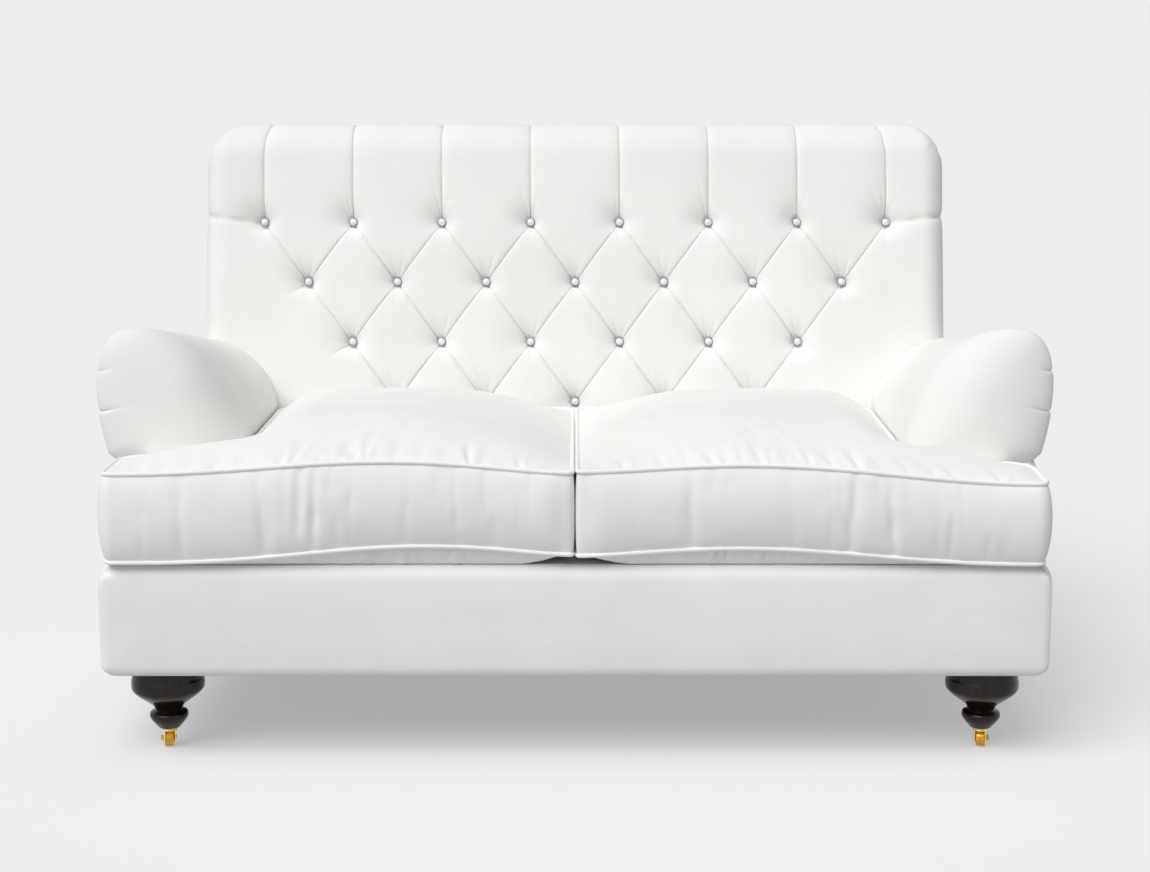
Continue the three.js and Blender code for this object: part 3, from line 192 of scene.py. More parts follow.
def cotton_drill(name, whitest, greyest, softness_mm=0.9):
    """Washed cotton drill: matt, with a fine weave and a soft hand."""
    material, tree, place = start_material(name)
    across, back, up = (thread_ripple(tree, place, axis) for axis in "XYZ")
    upward = math_node(tree, "MULTIPLY", back, up)
    weave = math_node(tree, "MULTIPLY", across, upward)
    soft = grain(tree, place, WADDING_MM, detail=1.0)
    wide = grain(tree, place, BREADTH_MM)
    height = math_node(tree, "ADD", math_node(tree, "MULTIPLY", weave, 0.06 / softness_mm), soft)
    end_material(tree, between(tree, wide, whitest, greyest), between(tree, soft, 0.82, 0.92), height,
                 softness_mm, Sheen_Weight=0.12, Sheen_Roughness=0.5, Specular_IOR_Level=0.25)
    return material


cotton = cotton_drill("white_cotton_drill", "#f6f6f4", "#f1f1ef")
piping_cotton = cotton_drill("white_piping_cotton", "#fbfbfa", "#f6f6f4", softness_mm=0.2)
print("cloth materials:", cotton.name, piping_cotton.name)

# %% [markdown]
# ## Wood, brass and pearl
# The front legs are turned hardwood, stained espresso and lacquered: nearly black, with a clear coat that
# gives the small sharp highlights. The castors are polished brass, which is metal all through, so its colour
# sits in its reflection. The plate and fork are buffed smoother than the wheel and its axle, and their brass is
# also painted a paler, near-white colour, a painted highlight, so they read brighter. The buttons are gloss pearl,
# a pale body under a clear coat, in a rim of dark polished nickel. Springs, bolts and staples are
# zinc-plated, a duller grey, and the zips are satin metal. The frame inside is planed beech, pinkish tan with
# short dark flecks along the grain, so there is one beech for each way that a rail can run.

# %% Wood, brass, steel and pearl
def striped_wood(name, dark, light, along, grain_mm, roughness, **constants):
    """Planed or turned wood: a long grain along one axis, and fine flecks in it."""
    material, tree, place = start_material(name)
    stretch = [1, 1, 1]
    stretch["XYZ".index(along)] = 14
    bands = grain(tree, place, grain_mm, detail=3.0, stretch=stretch)
    flecks = grain(tree, place, grain_mm / 5, detail=1.0, stretch=stretch)
    mixed = math_node(tree, "MULTIPLY_ADD", flecks, 0.35, math_node(tree, "MULTIPLY", bands, 0.65))
    end_material(tree, between(tree, mixed, dark, light, 0.35, 0.65),
                 between(tree, flecks, roughness, roughness + 0.08), flecks, 0.05, **constants)
    return material


espresso_wood = striped_wood("espresso_lacquered_wood", "#120a08", "#251611", "Z", 9, 0.14,
                             Specular_IOR_Level=0.3)
beeches = [striped_wood(f"planed_beech_{way}", "#b98a5c", "#d9b98f", axis, 12, 0.55, IOR=1.5)
           for way, axis in (("across", "X"), ("deep", "Y"), ("upright", "Z"))]


def worn_metal(name, bright, dull, roughness, scratch_mm, **constants):
    """A metal with a soft cloud of tarnish and fine polishing marks."""
    material, tree, place = start_material(name)
    cloud = grain(tree, place, 11, detail=3.0)
    marks = grain(tree, place, scratch_mm, detail=2.0, stretch=(1, 9, 1))
    end_material(tree, between(tree, cloud, bright, dull), between(tree, marks, roughness, roughness + 0.12),
                 marks, 0.01, Metallic=1.0, **constants)
    return material


polished_brass = worn_metal("polished_brass", "#e3b04c", "#c08d34", 0.2, 0.8)
# plate and fork brass: a lower roughness for real buffing, and a paler near-white colour that is a painted
# highlight
highlight_painted_brass = worn_metal("highlight_painted_brass", "#fff0b8", "#f0d184", 0.08, 0.8)
zinc_steel = worn_metal("zinc_plated_steel", "#a3a6a9", "#7f8285", 0.34, 0.8)
nickel = worn_metal("polished_nickel", "#77777c", "#5a5a5f", 0.16, 0.6)
zip_metal = worn_metal("satin_zip_metal", "#c9cacc", "#a8a9ab", 0.3, 0.3)


def pearl_gloss():
    """Gloss pearl: a pale body with a faint cloud in it, under a hard clear coat."""
    material, tree, place = start_material("gloss_pearl")
    cloud = grain(tree, place, 3, detail=2.0)
    end_material(tree, between(tree, cloud, "#fafafb", "#e6e7ea"), between(tree, cloud, 0.1, 0.16),
                 cloud, 0.02, Coat_Weight=1.0, Coat_Roughness=0.03, Specular_IOR_Level=0.6)
    return material


pearl = pearl_gloss()
print("hard materials:", espresso_wood.name, polished_brass.name, pearl.name)

# %% [markdown]
# ## The cloths and fillings that stay out of sight
# Under the cushions lies a needled felt deck, and under the frame a thin black non-woven dust cloth, with the
# small pressed dimples that bond its fibres. The cushions hold cream open-cell foam. Each gets its own
# finish, because the cushions lift off and the sofa may be seen from below.

# %% Felt, dust cloth, foam and zip tape
def fibre_cloth(name, pale, dark, size_mm, depth_mm, roughness=0.95, stretch=(1, 1, 1)):
    """A matted or fibrous cloth: tangled hairs as a fine noise, in its colour and in its height."""
    material, tree, place = start_material(name)
    hairs = grain(tree, place, size_mm, detail=5.0, stretch=stretch)
    end_material(tree, between(tree, hairs, pale, dark), roughness, hairs, depth_mm, Sheen_Weight=0.2)
    return material


def celled(name, pale, dark, cell_mm, depth_mm, roughness=0.95):
    """A material of small cells or pressed dimples."""
    material, tree, place = start_material(name)
    cells = grain(tree, place, cell_mm, kind="ShaderNodeTexVoronoi")
    end_material(tree, between(tree, cells, dark, pale, 0.1, 0.6), roughness, cells, depth_mm)
    return material


seat_felt = fibre_cloth("needled_felt", "#e2ddd0", "#c6bfae", 2.5, 0.5)
zip_tape = fibre_cloth("woven_zip_tape", "#f4f4f2", "#dededc", 0.8, 0.1, 0.8, stretch=(6, 1, 1))
dust_cloth = celled("black_dust_cloth", "#2f2f31", "#1f1f21", 2.2, 0.15)
cream_foam = celled("cream_foam", "#efe6c2", "#d8cb9c", 2.0, 0.6)
print("hidden materials:", seat_felt.name, dust_cloth.name, cream_foam.name)

# %% [markdown]
# ## Shells from grids of points
# Upholstery is cut from flat cloth, and a grid of points is the same thing: rows and columns that can be
# bent, puffed and creased by a rule. A shell collects such grids, skins them with four-sided faces, closes
# their ends, and becomes one mesh whose faces all point outwards.

# %% Mesh helpers
def spread(start, end, step):
    """Even values from start to end, about a step apart."""
    return np.linspace(start, end, max(2, round(abs(end - start) / step) + 1))


def ease(value, start=0.0, end=1.0):
    """0 before start, 1 after end, and a soft rise between."""
    t = np.clip((value - start) / (end - start), 0, 1)
    return t * t * (3 - 2 * t)


def swell(distance, reach, power=2.2):
    """0 at an edge, rising fast and levelling off at reach, as stuffed cloth does."""
    return 1 - (1 - np.clip(distance / reach, 0, 1)) ** power


def mix(low, high, share):
    """The value a share of the way from low to high."""
    return low + (high - low) * share


def round_corner(x, y, corner, radius, side):
    """Bends one square corner of a grid to a round one, and leaves the rest of it alone."""
    u = side[0] * (x - corner[0]) / radius + 1
    v = side[1] * (y - corner[1]) / radius + 1
    near = (u > 0) & (v > 0)
    u, v = np.where(near, u, 0), np.where(near, v, 0)
    bent_x = corner[0] + side[0] * radius * (u * np.sqrt(1 - v * v / 2) - 1)
    bent_y = corner[1] + side[1] * radius * (v * np.sqrt(1 - u * u / 2) - 1)
    return np.where(near, bent_x, x), np.where(near, bent_y, y)


def cells_without(shape, *cuts):
    """Which cells between the points of a grid are cloth: all but those in the cuts."""
    cells = np.ones((shape[0] - 1, shape[1] - 1), bool)
    for cut in cuts:
        cells[cut] = False
    return cells


class Shell:
    """Points in millimetres and faces that become one piece."""

    def __init__(self):
        self.points = np.zeros((0, 3))
        self.faces = []

    def add(self, x, y, z):
        """Adds a grid or a row of points and gives their numbers in the same layout."""
        x, y, z = np.broadcast_arrays(x, y, z)
        first = len(self.points)
        self.points = np.vstack([self.points, np.stack([x, y, z], axis=-1).reshape(-1, 3)])
        return np.arange(first, len(self.points)).reshape(x.shape)

    def skin(self, ids, closed=False, keep=None, rising=None):
        """Faces between rows and columns of points; closed joins the last column to the first."""
        if closed:
            ids = np.concatenate([ids, ids[:, :1]], axis=1)
        a, b, c, d = ids[:-1, :-1], ids[:-1, 1:], ids[1:, 1:], ids[1:, :-1]
        wanted = np.ones(a.shape, bool) if keep is None else keep
        if rising is None:
            self.faces += np.stack([a, b, c, d], axis=-1)[wanted].tolist()
            return
        up, down = wanted & rising, wanted & ~rising
        for picked, corners in ((up, (a, b, c)), (up, (a, c, d)), (down, (a, b, d)), (down, (b, c, d))):
            self.faces += np.stack(corners, axis=-1)[picked].tolist()

    def cap(self, ring):
        """Closes a ring with a fan about its middle."""
        middle = self.points[ring].mean(axis=0)
        hub = int(self.add(*[np.array([value]) for value in middle])[0])
        self.faces += [[int(a), int(b), hub] for a, b in zip(ring, np.roll(ring, -1))]

    def tube(self, x, y, z):
        """Adds rings of points, skins them and closes both ends."""
        ids = self.add(x, y, z)
        self.skin(ids, closed=True)
        self.cap(ids[0])
        self.cap(ids[-1])

    def build(self, name, material, sharp_degrees=None):
        """The mesh, with doubles merged and faces turned outwards, as an object at the origin."""
        mesh = bpy.data.meshes.new(name)
        mesh.from_pydata((self.points * MM).tolist(), [], self.faces)
        work = bmesh.new()
        work.from_mesh(mesh)
        bmesh.ops.remove_doubles(work, verts=work.verts, dist=0.01 * MM)
        bmesh.ops.dissolve_degenerate(work, edges=work.edges, dist=0.001 * MM)
        bmesh.ops.delete(work, geom=[v for v in work.verts if not v.link_faces], context="VERTS")
        bmesh.ops.recalc_face_normals(work, faces=work.faces)
        open_edges = sum(1 for edge in work.edges if edge.is_boundary)
        work.to_mesh(mesh)
        work.free()
        mesh.shade_smooth()
        if sharp_degrees:
            mesh.set_sharp_from_angle(angle=math.radians(sharp_degrees))
        mesh.materials.append(material)
        piece = bpy.data.objects.new(name, mesh)
        bpy.context.collection.objects.link(piece)
        print(f"{name}: {len(mesh.vertices)} points, {len(mesh.polygons)} faces, {open_edges} open edges")
        return piece


def seat_on(piece, body, nodes=()):
    """Rides a piece on its body, and hides the frame nodes that it stands for."""
    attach(piece, body)
    if nodes:
        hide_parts(*nodes)
    return piece


def corners_mm(node):
    """The lowest and highest corner of a frame node, in millimetres."""
    return [np.array(corner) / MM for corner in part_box(node)]


SIDES = (("left", -1), ("right", 1))
print("helpers ready; right arm spans", [round(v) for v in corners_mm("right_arm_pad")[0]])

# %% [markdown]
# ## Cords, studs and stitches by rule
# Piping, staples and zip teeth follow a path or repeat along it. Geometry Nodes does that from a handful of
# named inputs, so one small tree serves every length. The tree's instances are made real and get their
# material inside it, and the result is kept as a plain mesh.

# %% Geometry Nodes helpers
def new_tree(name, sockets):
    """A tree with a geometry in and out, and named inputs given as (socket type, first value)."""
    tree = bpy.data.node_groups.new(name, "GeometryNodeTree")
    tree.interface.new_socket("Geometry", in_out="INPUT", socket_type="NodeSocketGeometry")
    for label, (kind, value) in sockets.items():
        socket = tree.interface.new_socket(label, in_out="INPUT", socket_type=kind)
        if value is not None:
            socket.default_value = value
    tree.interface.new_socket("Geometry", in_out="OUTPUT", socket_type="NodeSocketGeometry")
    return tree, tree.nodes.new("NodeGroupInput").outputs


def end_tree(tree, geometry, material):
    """Realizes the instances, sets the material and ends the tree."""
    real = add_node(tree, "GeometryNodeRealizeInstances", {"Geometry": geometry})
    smooth = add_node(tree, "GeometryNodeSetShadeSmooth", {"Geometry": real.outputs["Geometry"]})
    dressed = add_node(tree, "GeometryNodeSetMaterial", {"Geometry": smooth.outputs["Geometry"],
                                                         "Material": material})
    add_node(tree, "NodeGroupOutput", {"Geometry": dressed.outputs["Geometry"]})


def grow(name, points, edges, tree, values):
    """Runs a tree on bare points and edges in millimetres, and keeps the result as a plain mesh."""
    mesh = bpy.data.meshes.new(name)
    mesh.from_pydata((np.array(points) * MM).tolist(), edges, [])
    piece = bpy.data.objects.new(name, mesh)
    bpy.context.collection.objects.link(piece)
    modifier = piece.modifiers.new(tree.name, "NODES")
    modifier.node_group = tree
    for item in tree.interface.items_tree:
        if item.name in values:
            modifier[item.identifier] = values[item.name]
    evaluated = piece.evaluated_get(bpy.context.evaluated_depsgraph_get())
    grown = bpy.data.meshes.new_from_object(evaluated)
    piece.modifiers.remove(modifier)
    piece.data = grown
    grown.name = name
    print(f"{name}: {len(grown.polygons)} faces grown by {tree.name}")
    return piece


def piping_tree(material):
    """A round cord along every loop of edges, at the radius given."""
    tree, source = new_tree("piping", {"Radius": ("NodeSocketFloat", 4.5 * MM)})
    curve = add_node(tree, "GeometryNodeMeshToCurve", {"Mesh": source["Geometry"]})
    section = add_node(tree, "GeometryNodeCurvePrimitiveCircle", {"Resolution": 12, "Radius": source["Radius"]})
    cord = add_node(tree, "GeometryNodeCurveToMesh", {"Curve": curve.outputs["Curve"],
                                                      "Profile Curve": section.outputs["Curve"]})
    end_tree(tree, cord.outputs["Mesh"], material)
    return tree


piping = piping_tree(piping_cotton)
print("piping tree inputs:", [item.name for item in piping.interface.items_tree])

# %% [markdown]
# ## The seat cushions
# Each cushion is a T cut in half: it fills the seat between the arms and has an ear that runs out in front of
# its arm. Two flat panels and a boxing strip are sewn round a foam block, with a piping cord in both seams.
# The foam is a little too big for its cover, so the top domes, the boxing bulges between the seams, and the
# cloth gathers where it is held by the cord. A grid in the T's shape is domed by its distance to each edge,
# and each gather is a shallow valley that starts at the seam and dies out in the panel. The two cushions are
# not the same: the right one has been sat on more, and its outer end lies lower, so each seam follows its own
# heights along the front.

# %% Cushion sizes, from the frame
cover_low, cover_high = corners_mm("right_cushion_cover")
arm_low, arm_high = corners_mm("right_arm_pad")
FRONT_BULGE, SIDE_BULGE, ARM_BULGE, REAR_BULGE, INNER_BULGE = 14.0, 12.0, 4.0, 1.2, 5.0
PIPING_MM, PIPING_OUT = 3.5, 1.8
CROWN_MM, UNDER_REACH = 53.5, 23.0
MIDDLE_ROOM, REAR_ROOM, ARM_ROOM, NOSE_ROOM = 3.6, 5.0, 9.0, 7.0
seam_front = cover_low[1] + FRONT_BULGE
inner_x, ear_end = cover_low[0] + MIDDLE_ROOM, cover_high[0] - SIDE_BULGE
rear_depth = cover_high[1] - REAR_ROOM - seam_front
arm_side = arm_low[0] - ARM_ROOM
ear_depth = arm_low[1] - NOSE_ROOM - seam_front
deck_level = cover_low[2]
REAR_TOP, REAR_LOW = deck_level + 151.7, deck_level + 15.7
# each front seam as (place from the middle, height above the deck)
FRONT_TOP = {"left": ((0, 151.5), (150, 162.5), (225, 167), (340, 169.1), (400, 166), (505, 158.6),
                      (614, 151.6), (692, 149.6), (750, 149.2)),
             "right": ((0, 153), (40, 154.8), (194, 161), (310, 164.3), (437, 154.9), (535, 144.5), (632, 137.8),
                       (750, 134))}
FRONT_LOW = {"left": ((0, 20), (60, 25), (150, 31), (270, 34), (376, 27.5), (494, 15.8), (550, 11.4),
                      (640, 8.4), (750, 7.4)),
             "right": ((0, 18.6), (60, 22), (196, 28.6), (310, 30.6), (440, 21.8), (539, 12.2), (640, 7.4),
                       (750, 5.6))}
print("cushion: seam to seam", round(rear_depth), "deep; ear", round(ear_depth), "deep")


# %% Cushion rules
FRONT_REACH, REAR_REACH, INNER_REACH, OUTER_REACH, NOTCH_REACH = 185, 120, 250, 260, 95


def arched_seam(x, depth, seam):
    """The height of a seam: a smooth arch along the front, level at the rear."""
    places, rear = seam
    across, heights = np.array(places).T
    arch = np.polynomial.Polynomial.fit(across, heights, 5)
    return mix(deck_level + arch(x), rear, depth / rear_depth)


def notch_distance(x, depth):
    """How far a point is from the corner cut out for the arm."""
    return np.hypot(np.maximum(arm_side - x, 0), np.maximum(ear_depth - depth, 0))


def crown(x, depth):
    """The dome of the top panel, 0 at the seams."""
    return (swell(depth, FRONT_REACH) * swell(rear_depth - depth, REAR_REACH) * swell(x - inner_x, INNER_REACH)
            * swell(ear_end - x, OUTER_REACH) * swell(notch_distance(x, depth), NOTCH_REACH))


def gathers(seed, start, end, pitch, deep):
    """Valleys along a seam: where each starts, its depth, half width, length and lean."""
    draw = random.Random(seed)
    found = []
    along = start
    while along < end:
        found.append((along, deep * draw.uniform(0.3, 1.0) ** 1.6, draw.uniform(4, 10), draw.uniform(22, 66),
                      draw.uniform(-0.25, 0.25)))
        along += pitch * draw.uniform(0.5, 1.7)
    return found


def valleys(along, away, found):
    """How deep the gathers press the cloth, at a place along the seam and away from it."""
    pressed = np.zeros(np.broadcast(along, away).shape)
    for middle, deep, wide, length, lean in found:
        off = (along - middle - lean * away) / (wide * (0.6 + away / length))
        fade = np.exp(-(away / length) ** 2) * (1 - np.exp(-away / 5))
        pressed += deep * fade * (np.exp(-off * off) - 0.35 * np.exp(-(np.abs(off) - 1.9) ** 2))
    return pressed


def swelling(normal_x, normal_y, x):
    """How far the boxing bulges, by the way that it faces."""
    outer = np.where(x > arm_side + 100, SIDE_BULGE, ARM_BULGE)
    front = FRONT_BULGE * mix(0.5, 1.0, ease(x, inner_x + 3, inner_x + 42))
    return (front * np.maximum(-normal_y, 0) ** 2 + REAR_BULGE * np.maximum(normal_y, 0) ** 2
            + outer * np.maximum(normal_x, 0) ** 2 + INNER_BULGE * np.maximum(-normal_x, 0) ** 2)


print("crown in the middle of the seat:", round(float(CROWN_MM * crown(np.array(280.0), np.array(330.0)))), "mm")


# %% Cushion cover
FINE_MM, COARSE_MM = 4.4, 6.5


def cushion_plan():
    """The T's grid: places across and back, which cells are cloth, and where the T turns in for the arm."""
    inner, ear = spread(inner_x, arm_side, FINE_MM), spread(arm_side, ear_end, FINE_MM)[1:]
    front, rear = spread(0, ear_depth, FINE_MM), spread(ear_depth, rear_depth, COARSE_MM)[1:]
    x, depth = np.meshgrid(np.concatenate([inner, ear]), np.concatenate([front, rear]))
    for corner, radius, side in (((inner_x, 0), 3.5, (-1, -1)), ((ear_end, 0), 14, (1, -1)),
                                 ((ear_end, ear_depth), 46, (1, 1)), ((arm_side, rear_depth), 30, (1, 1)),
                                 ((inner_x, rear_depth), 20, (-1, 1))):
        x, depth = round_corner(x, depth, corner, radius, side)
    turn_row, turn_column = len(front) - 1, len(inner) - 1
    return x, depth, cells_without(x.shape, np.s_[turn_row:, turn_column:]), turn_row, turn_column


def rim_order(rows, columns, turn_row, turn_column):
    """The grid places round the T's edge, from the inner front corner outwards."""
    walk = [(0, i) for i in range(columns - 1)]
    walk += [(j, columns - 1) for j in range(turn_row)]
    walk += [(turn_row, i) for i in range(columns - 1, turn_column, -1)]
    walk += [(j, turn_column) for j in range(turn_row, rows - 1)]
    walk += [(rows - 1, i) for i in range(turn_column, 0, -1)]
    walk += [(j, 0) for j in range(rows - 1, 0, -1)]
    return tuple(np.array(walk).T)


def cushion_cover(side_name, side, seed):
    """One cover, and the two loops that its piping follows."""
    top_seam, low_seam = (FRONT_TOP[side_name], REAR_TOP), (FRONT_LOW[side_name], REAR_LOW)
    x, depth, cells, turn_row, turn_column = cushion_plan()
    rim = rim_order(*x.shape, turn_row, turn_column)
    front_top = gathers(seed, 40, 700, pitch=27, deep=6.0)
    front_low = gathers(seed + 1, 60, 690, pitch=15, deep=17.0)
    side_top = gathers(seed + 2, 150, 560, pitch=40, deep=3.6)
    edge = np.minimum.reduce([depth, rear_depth - depth, x - inner_x, ear_end - x, notch_distance(x, depth)])
    top = arched_seam(x, depth, top_seam) + CROWN_MM * crown(x, depth)
    top -= valleys(x, depth, front_top) + valleys(depth, x - inner_x, side_top)
    low = arched_seam(x, depth, low_seam)
    settled = swell(edge, UNDER_REACH, 1.8) * swell(x - inner_x, 80, 1.6)
    strip = np.clip((low - deck_level) / 30, 0, 1)
    under_gathers = valleys(x, depth, front_low) * (1 - settled ** 2) * strip ** 2
    low = mix(low, deck_level + 0.2, settled) + under_gathers
    shell = Shell()
    top_ids = shell.add(side * x, seam_front + depth, top)
    low_ids = shell.add(side * x, seam_front + depth, low)
    shell.skin(top_ids, keep=cells)
    shell.skin(low_ids, keep=cells)
    rim_x, rim_depth = x[rim], depth[rim]
    step_x = np.roll(rim_x, -1) - np.roll(rim_x, 1)
    step_depth = np.roll(rim_depth, -1) - np.roll(rim_depth, 1)
    length = np.hypot(step_x, step_depth)
    out_x, out_y = step_depth / length, -step_x / length
    down = spread(0, 1, 0.05)[1:-1, None]
    level = mix(arched_seam(rim_x, rim_depth, top_seam), arched_seam(rim_x, rim_depth, low_seam), down)
    fullness = mix(0.62, 0.26, np.maximum(-out_x, 0) ** 2)
    bulge = (4 * down * (1 - down)) ** fullness * swelling(out_x, out_y, rim_x)
    bulge = bulge - np.maximum(-out_y, 0) ** 4 * boxing_folds(rim_x, down, seed)
    box_ids = shell.add(side * (rim_x + out_x * bulge), seam_front + rim_depth + out_y * bulge, level)
    shell.skin(np.vstack([top_ids[rim], box_ids, low_ids[rim]]), closed=True)
    loops = []
    for seam in (top_seam, low_seam):
        height = arched_seam(rim_x, rim_depth, seam)
        loops.append(np.stack([side * (rim_x + out_x * PIPING_OUT), seam_front + rim_depth + out_y * PIPING_OUT,
                               height], axis=-1))
    return shell.build(f"{side_name}_seat_cushion", cotton), loops


def boxing_folds(x, down, seed):
    """Upright folds in the boxing, deepest in front of the arm, where the strip is fuller than the foam."""
    draw = random.Random(seed + 3)
    pressed = np.zeros(np.broadcast(x, down).shape)
    for _ in range(52):
        middle, deep, wide = draw.uniform(60, 690), draw.uniform(0.3, 1.6), draw.uniform(4, 11)
        start, end = sorted((draw.uniform(-0.2, 0.6), draw.uniform(0.4, 1.2)))
        if 395 < middle < 500:
            deep *= 2.6
        off = (x - middle - draw.uniform(-9, 9) * down) / wide
        pressed += deep * np.exp(-off * off) * ease(down, start, start + 0.25) * (1 - ease(down, end - 0.25, end))
    return pressed


# %% [markdown]
# ## Cloth under pressure
# The rule gives each cover its form, but it leaves the skin too even. A cover that is blown up as cloth takes
# up its own small tensions between the gathers. Its seams, its underside and its hidden sides are held, so
# that it still meets the piping and the frame, gravity is off, and no point may move more than a few
# millimetres. A voxel remesh would blur the seams, and the grid is even enough without one.

# %% Settling and piping the covers
SETTLE_FRAMES, SETTLE_QUALITY, SETTLE_CAP, SETTLE_PRESSURE = 20, 3, 4.0, 4.0
COVER_SEEDS = {"left": 40, "right": 71}


def settle(piece, top_seam):
    """Blows a cover up as cloth: only its top and its front are free, and a point's move is capped."""
    mesh = piece.data
    rest = np.empty(len(mesh.vertices) * 3)
    mesh.vertices.foreach_get("co", rest)
    rest = rest.reshape(-1, 3)
    x, depth, z = np.abs(rest[:, 0]) / MM, rest[:, 1] / MM - seam_front, rest[:, 2] / MM
    free = (z > arched_seam(x, depth, top_seam) + 0.5) | (depth < -0.5)
    held = piece.vertex_groups.new(name="held")
    held.add(np.flatnonzero(~free).tolist(), 1.0, "REPLACE")
    cloth = piece.modifiers.new("cloth", "CLOTH")
    cloth.settings.vertex_group_mass = held.name
    cloth.settings.use_pressure = True
    cloth.settings.uniform_pressure_force = SETTLE_PRESSURE
    cloth.settings.effector_weights.gravity = 0.0
    cloth.settings.quality = SETTLE_QUALITY
    cloth.point_cache.frame_end = SETTLE_FRAMES
    for frame in range(1, SETTLE_FRAMES + 1):
        bpy.context.scene.frame_set(frame)
    blown = np.empty(rest.size)
    evaluated = piece.evaluated_get(bpy.context.evaluated_depsgraph_get())
    evaluated.data.vertices.foreach_get("co", blown)
    move = blown.reshape(-1, 3) - rest
    far = np.linalg.norm(move, axis=1, keepdims=True) / MM
    move *= SETTLE_CAP * np.tanh(far / SETTLE_CAP) / np.maximum(far, 1e-6)
    piece.modifiers.remove(cloth)
    piece.vertex_groups.clear()
    bpy.context.scene.frame_set(1)
    mesh.vertices.foreach_set("co", (rest + move).ravel())
    mesh.update()
    print(f"{piece.name} settled: {int(free.sum())} free points, moved up to {far.max():.1f} mm before the cap")


for side_name, side in SIDES:
    cover, loops = cushion_cover(side_name, side, COVER_SEEDS[side_name])
    settle(cover, (FRONT_TOP[side_name], REAR_TOP))
    count = len(loops[0])
    ring = [(i, (i + 1) % count) for i in range(count)]
    edges = ring + [(a + count, b + count) for a, b in ring]
    cord = grow(f"{side_name}_cushion_piping", np.vstack(loops), edges, piping, {"Radius": PIPING_MM * MM})
    seat_on(cover, f"{side_name}_cushion", [f"{side_name}_cushion_cover"])
    seat_on(cord, f"{side_name}_cushion")

# %% [markdown]
# ## The deep-buttoned back
# Buttons are pulled into thick wadding, and the spare cloth between two buttons is folded into a pleat, so
# the surface breaks into diamonds. It could be simulated, but every pleat has a known place: it runs straight
# from button to button. So the back is a height over a leaning plane, on a grid whose lines crowd together at
# the buttons and whose faces are split along the pleats, and each crease lies exactly on an edge.

# %% The back's plane and its buttons
BACK_LEAN = math.radians(5.0)
BACK_TAPER = math.tan(math.radians(7.95))
PITCH, ROW_STEP, TOP_ROW, ROWS, TOP_COUNT = 166.0, 111.0, 655.0, 4, 8
HALF_PITCH = PITCH / 2
TOP_ROW_OUT = 152.7
PUFF = 36.0
TOP_ROLL, SIDE_ROLL, CORNER, TOP_OUT = 62.0, 45.0, 85.0, 98
back_foot = corners_mm("outside_back_panel")[0][1]
base_bottom = corners_mm("front_border")[0][2]
back_half = corners_mm("back_pad")[1][0]
back_top = corners_mm("back_pad")[1][2] - base_bottom - TOP_OUT * math.sin(BACK_LEAN)
back_top /= math.cos(BACK_LEAN)
end_column = HALF_PITCH * (TOP_COUNT - 1)


def from_back(x, along, out):
    """A place on the leaning back (across, up it, out from it), as x, y and z."""
    y = back_foot + along * math.sin(BACK_LEAN) - out * math.cos(BACK_LEAN)
    return x, y, base_bottom + along * math.cos(BACK_LEAN) + out * math.sin(BACK_LEAN)


def pulled_in(along):
    """How far out from the rear plane the buttons sit at a height up the back."""
    return TOP_ROW_OUT + BACK_TAPER * (TOP_ROW - along)


buttons = [((i - (TOP_COUNT - row - 1) / 2) * PITCH, TOP_ROW - row * ROW_STEP)
           for row in range(ROWS) for i in range(TOP_COUNT - row)]
print(len(buttons), "buttons; back is", round(2 * back_half), "wide and", round(back_top), "up the lean")

# %% How the cloth is drawn in
PLEAT_NORMAL = 1 / math.hypot(1 / HALF_PITCH, 1 / ROW_STEP)


def to_odd(value):
    """How far a number is from the nearest odd whole number."""
    return np.abs(np.mod(value, 2) - 1)


def line_distance(x, along, start, end):
    """Distance to a straight pleat, and how far along it the nearest place is, 0 to 1."""
    dx, dv = end[0] - start[0], end[1] - start[1]
    share = np.clip(((x - start[0]) * dx + (along - start[1]) * dv) / (dx * dx + dv * dv), 0, 1)
    return np.hypot(x - start[0] - share * dx, along - start[1] - share * dv), share


def groove(distance, deep, wide):
    """A sharp crease with soft shoulders."""
    return deep * np.exp(-distance / wide) + 0.15 * deep * np.exp(-(distance / (6 * wide)) ** 2)


def diamond_folds(x, along):
    """Depth of the diamonds' pleats and hollows below the full wadding."""
    level = (np.minimum(along, TOP_ROW) - TOP_ROW) / ROW_STEP
    rising, falling = np.abs(x) / HALF_PITCH + level, np.abs(x) / HALF_PITCH - level
    outside = ease(falling, TOP_COUNT - 1 + 0.02, TOP_COUNT - 1 + 0.45)
    below = ease(TOP_ROW - (ROWS - 1) * ROW_STEP - along, -10, 60)
    rising_mm = to_odd(rising) * PLEAT_NORMAL + 80 * outside
    falling_mm = np.where(falling > TOP_COUNT - 1, falling - (TOP_COUNT - 1), to_odd(falling)) * PLEAT_NORMAL
    pillow = swell(rising_mm, 58, 3.0) * swell(falling_mm, 58, 3.0)
    hollow = 2.4 * (1 - pillow)
    crease = np.maximum(groove(rising_mm, np.where(x > 0, 6.2, 3.4), 1.2),
                        groove(falling_mm, np.where(x > 0, 3.4, 6.2), 1.2))
    above = ease(along, TOP_ROW - 8, TOP_ROW + 26)
    return (hollow + crease) * (1 - above) * (1 - 0.8 * below)


def top_pleats(x, along):
    """The upright pleats from the top row, over the top edge, and the soft swell between them."""
    above = ease(along, TOP_ROW - 8, TOP_ROW + 26)
    sideways = to_odd(np.clip(np.abs(x) / HALF_PITCH, 0, TOP_COUNT)) * HALF_PITCH
    fading = mix(1.0, 0.72, ease(along, TOP_ROW, back_top))
    return above * fading * (4.5 * (1 - swell(sideways, 60, 3.0)) + groove(sideways, 6.4, 1.3))


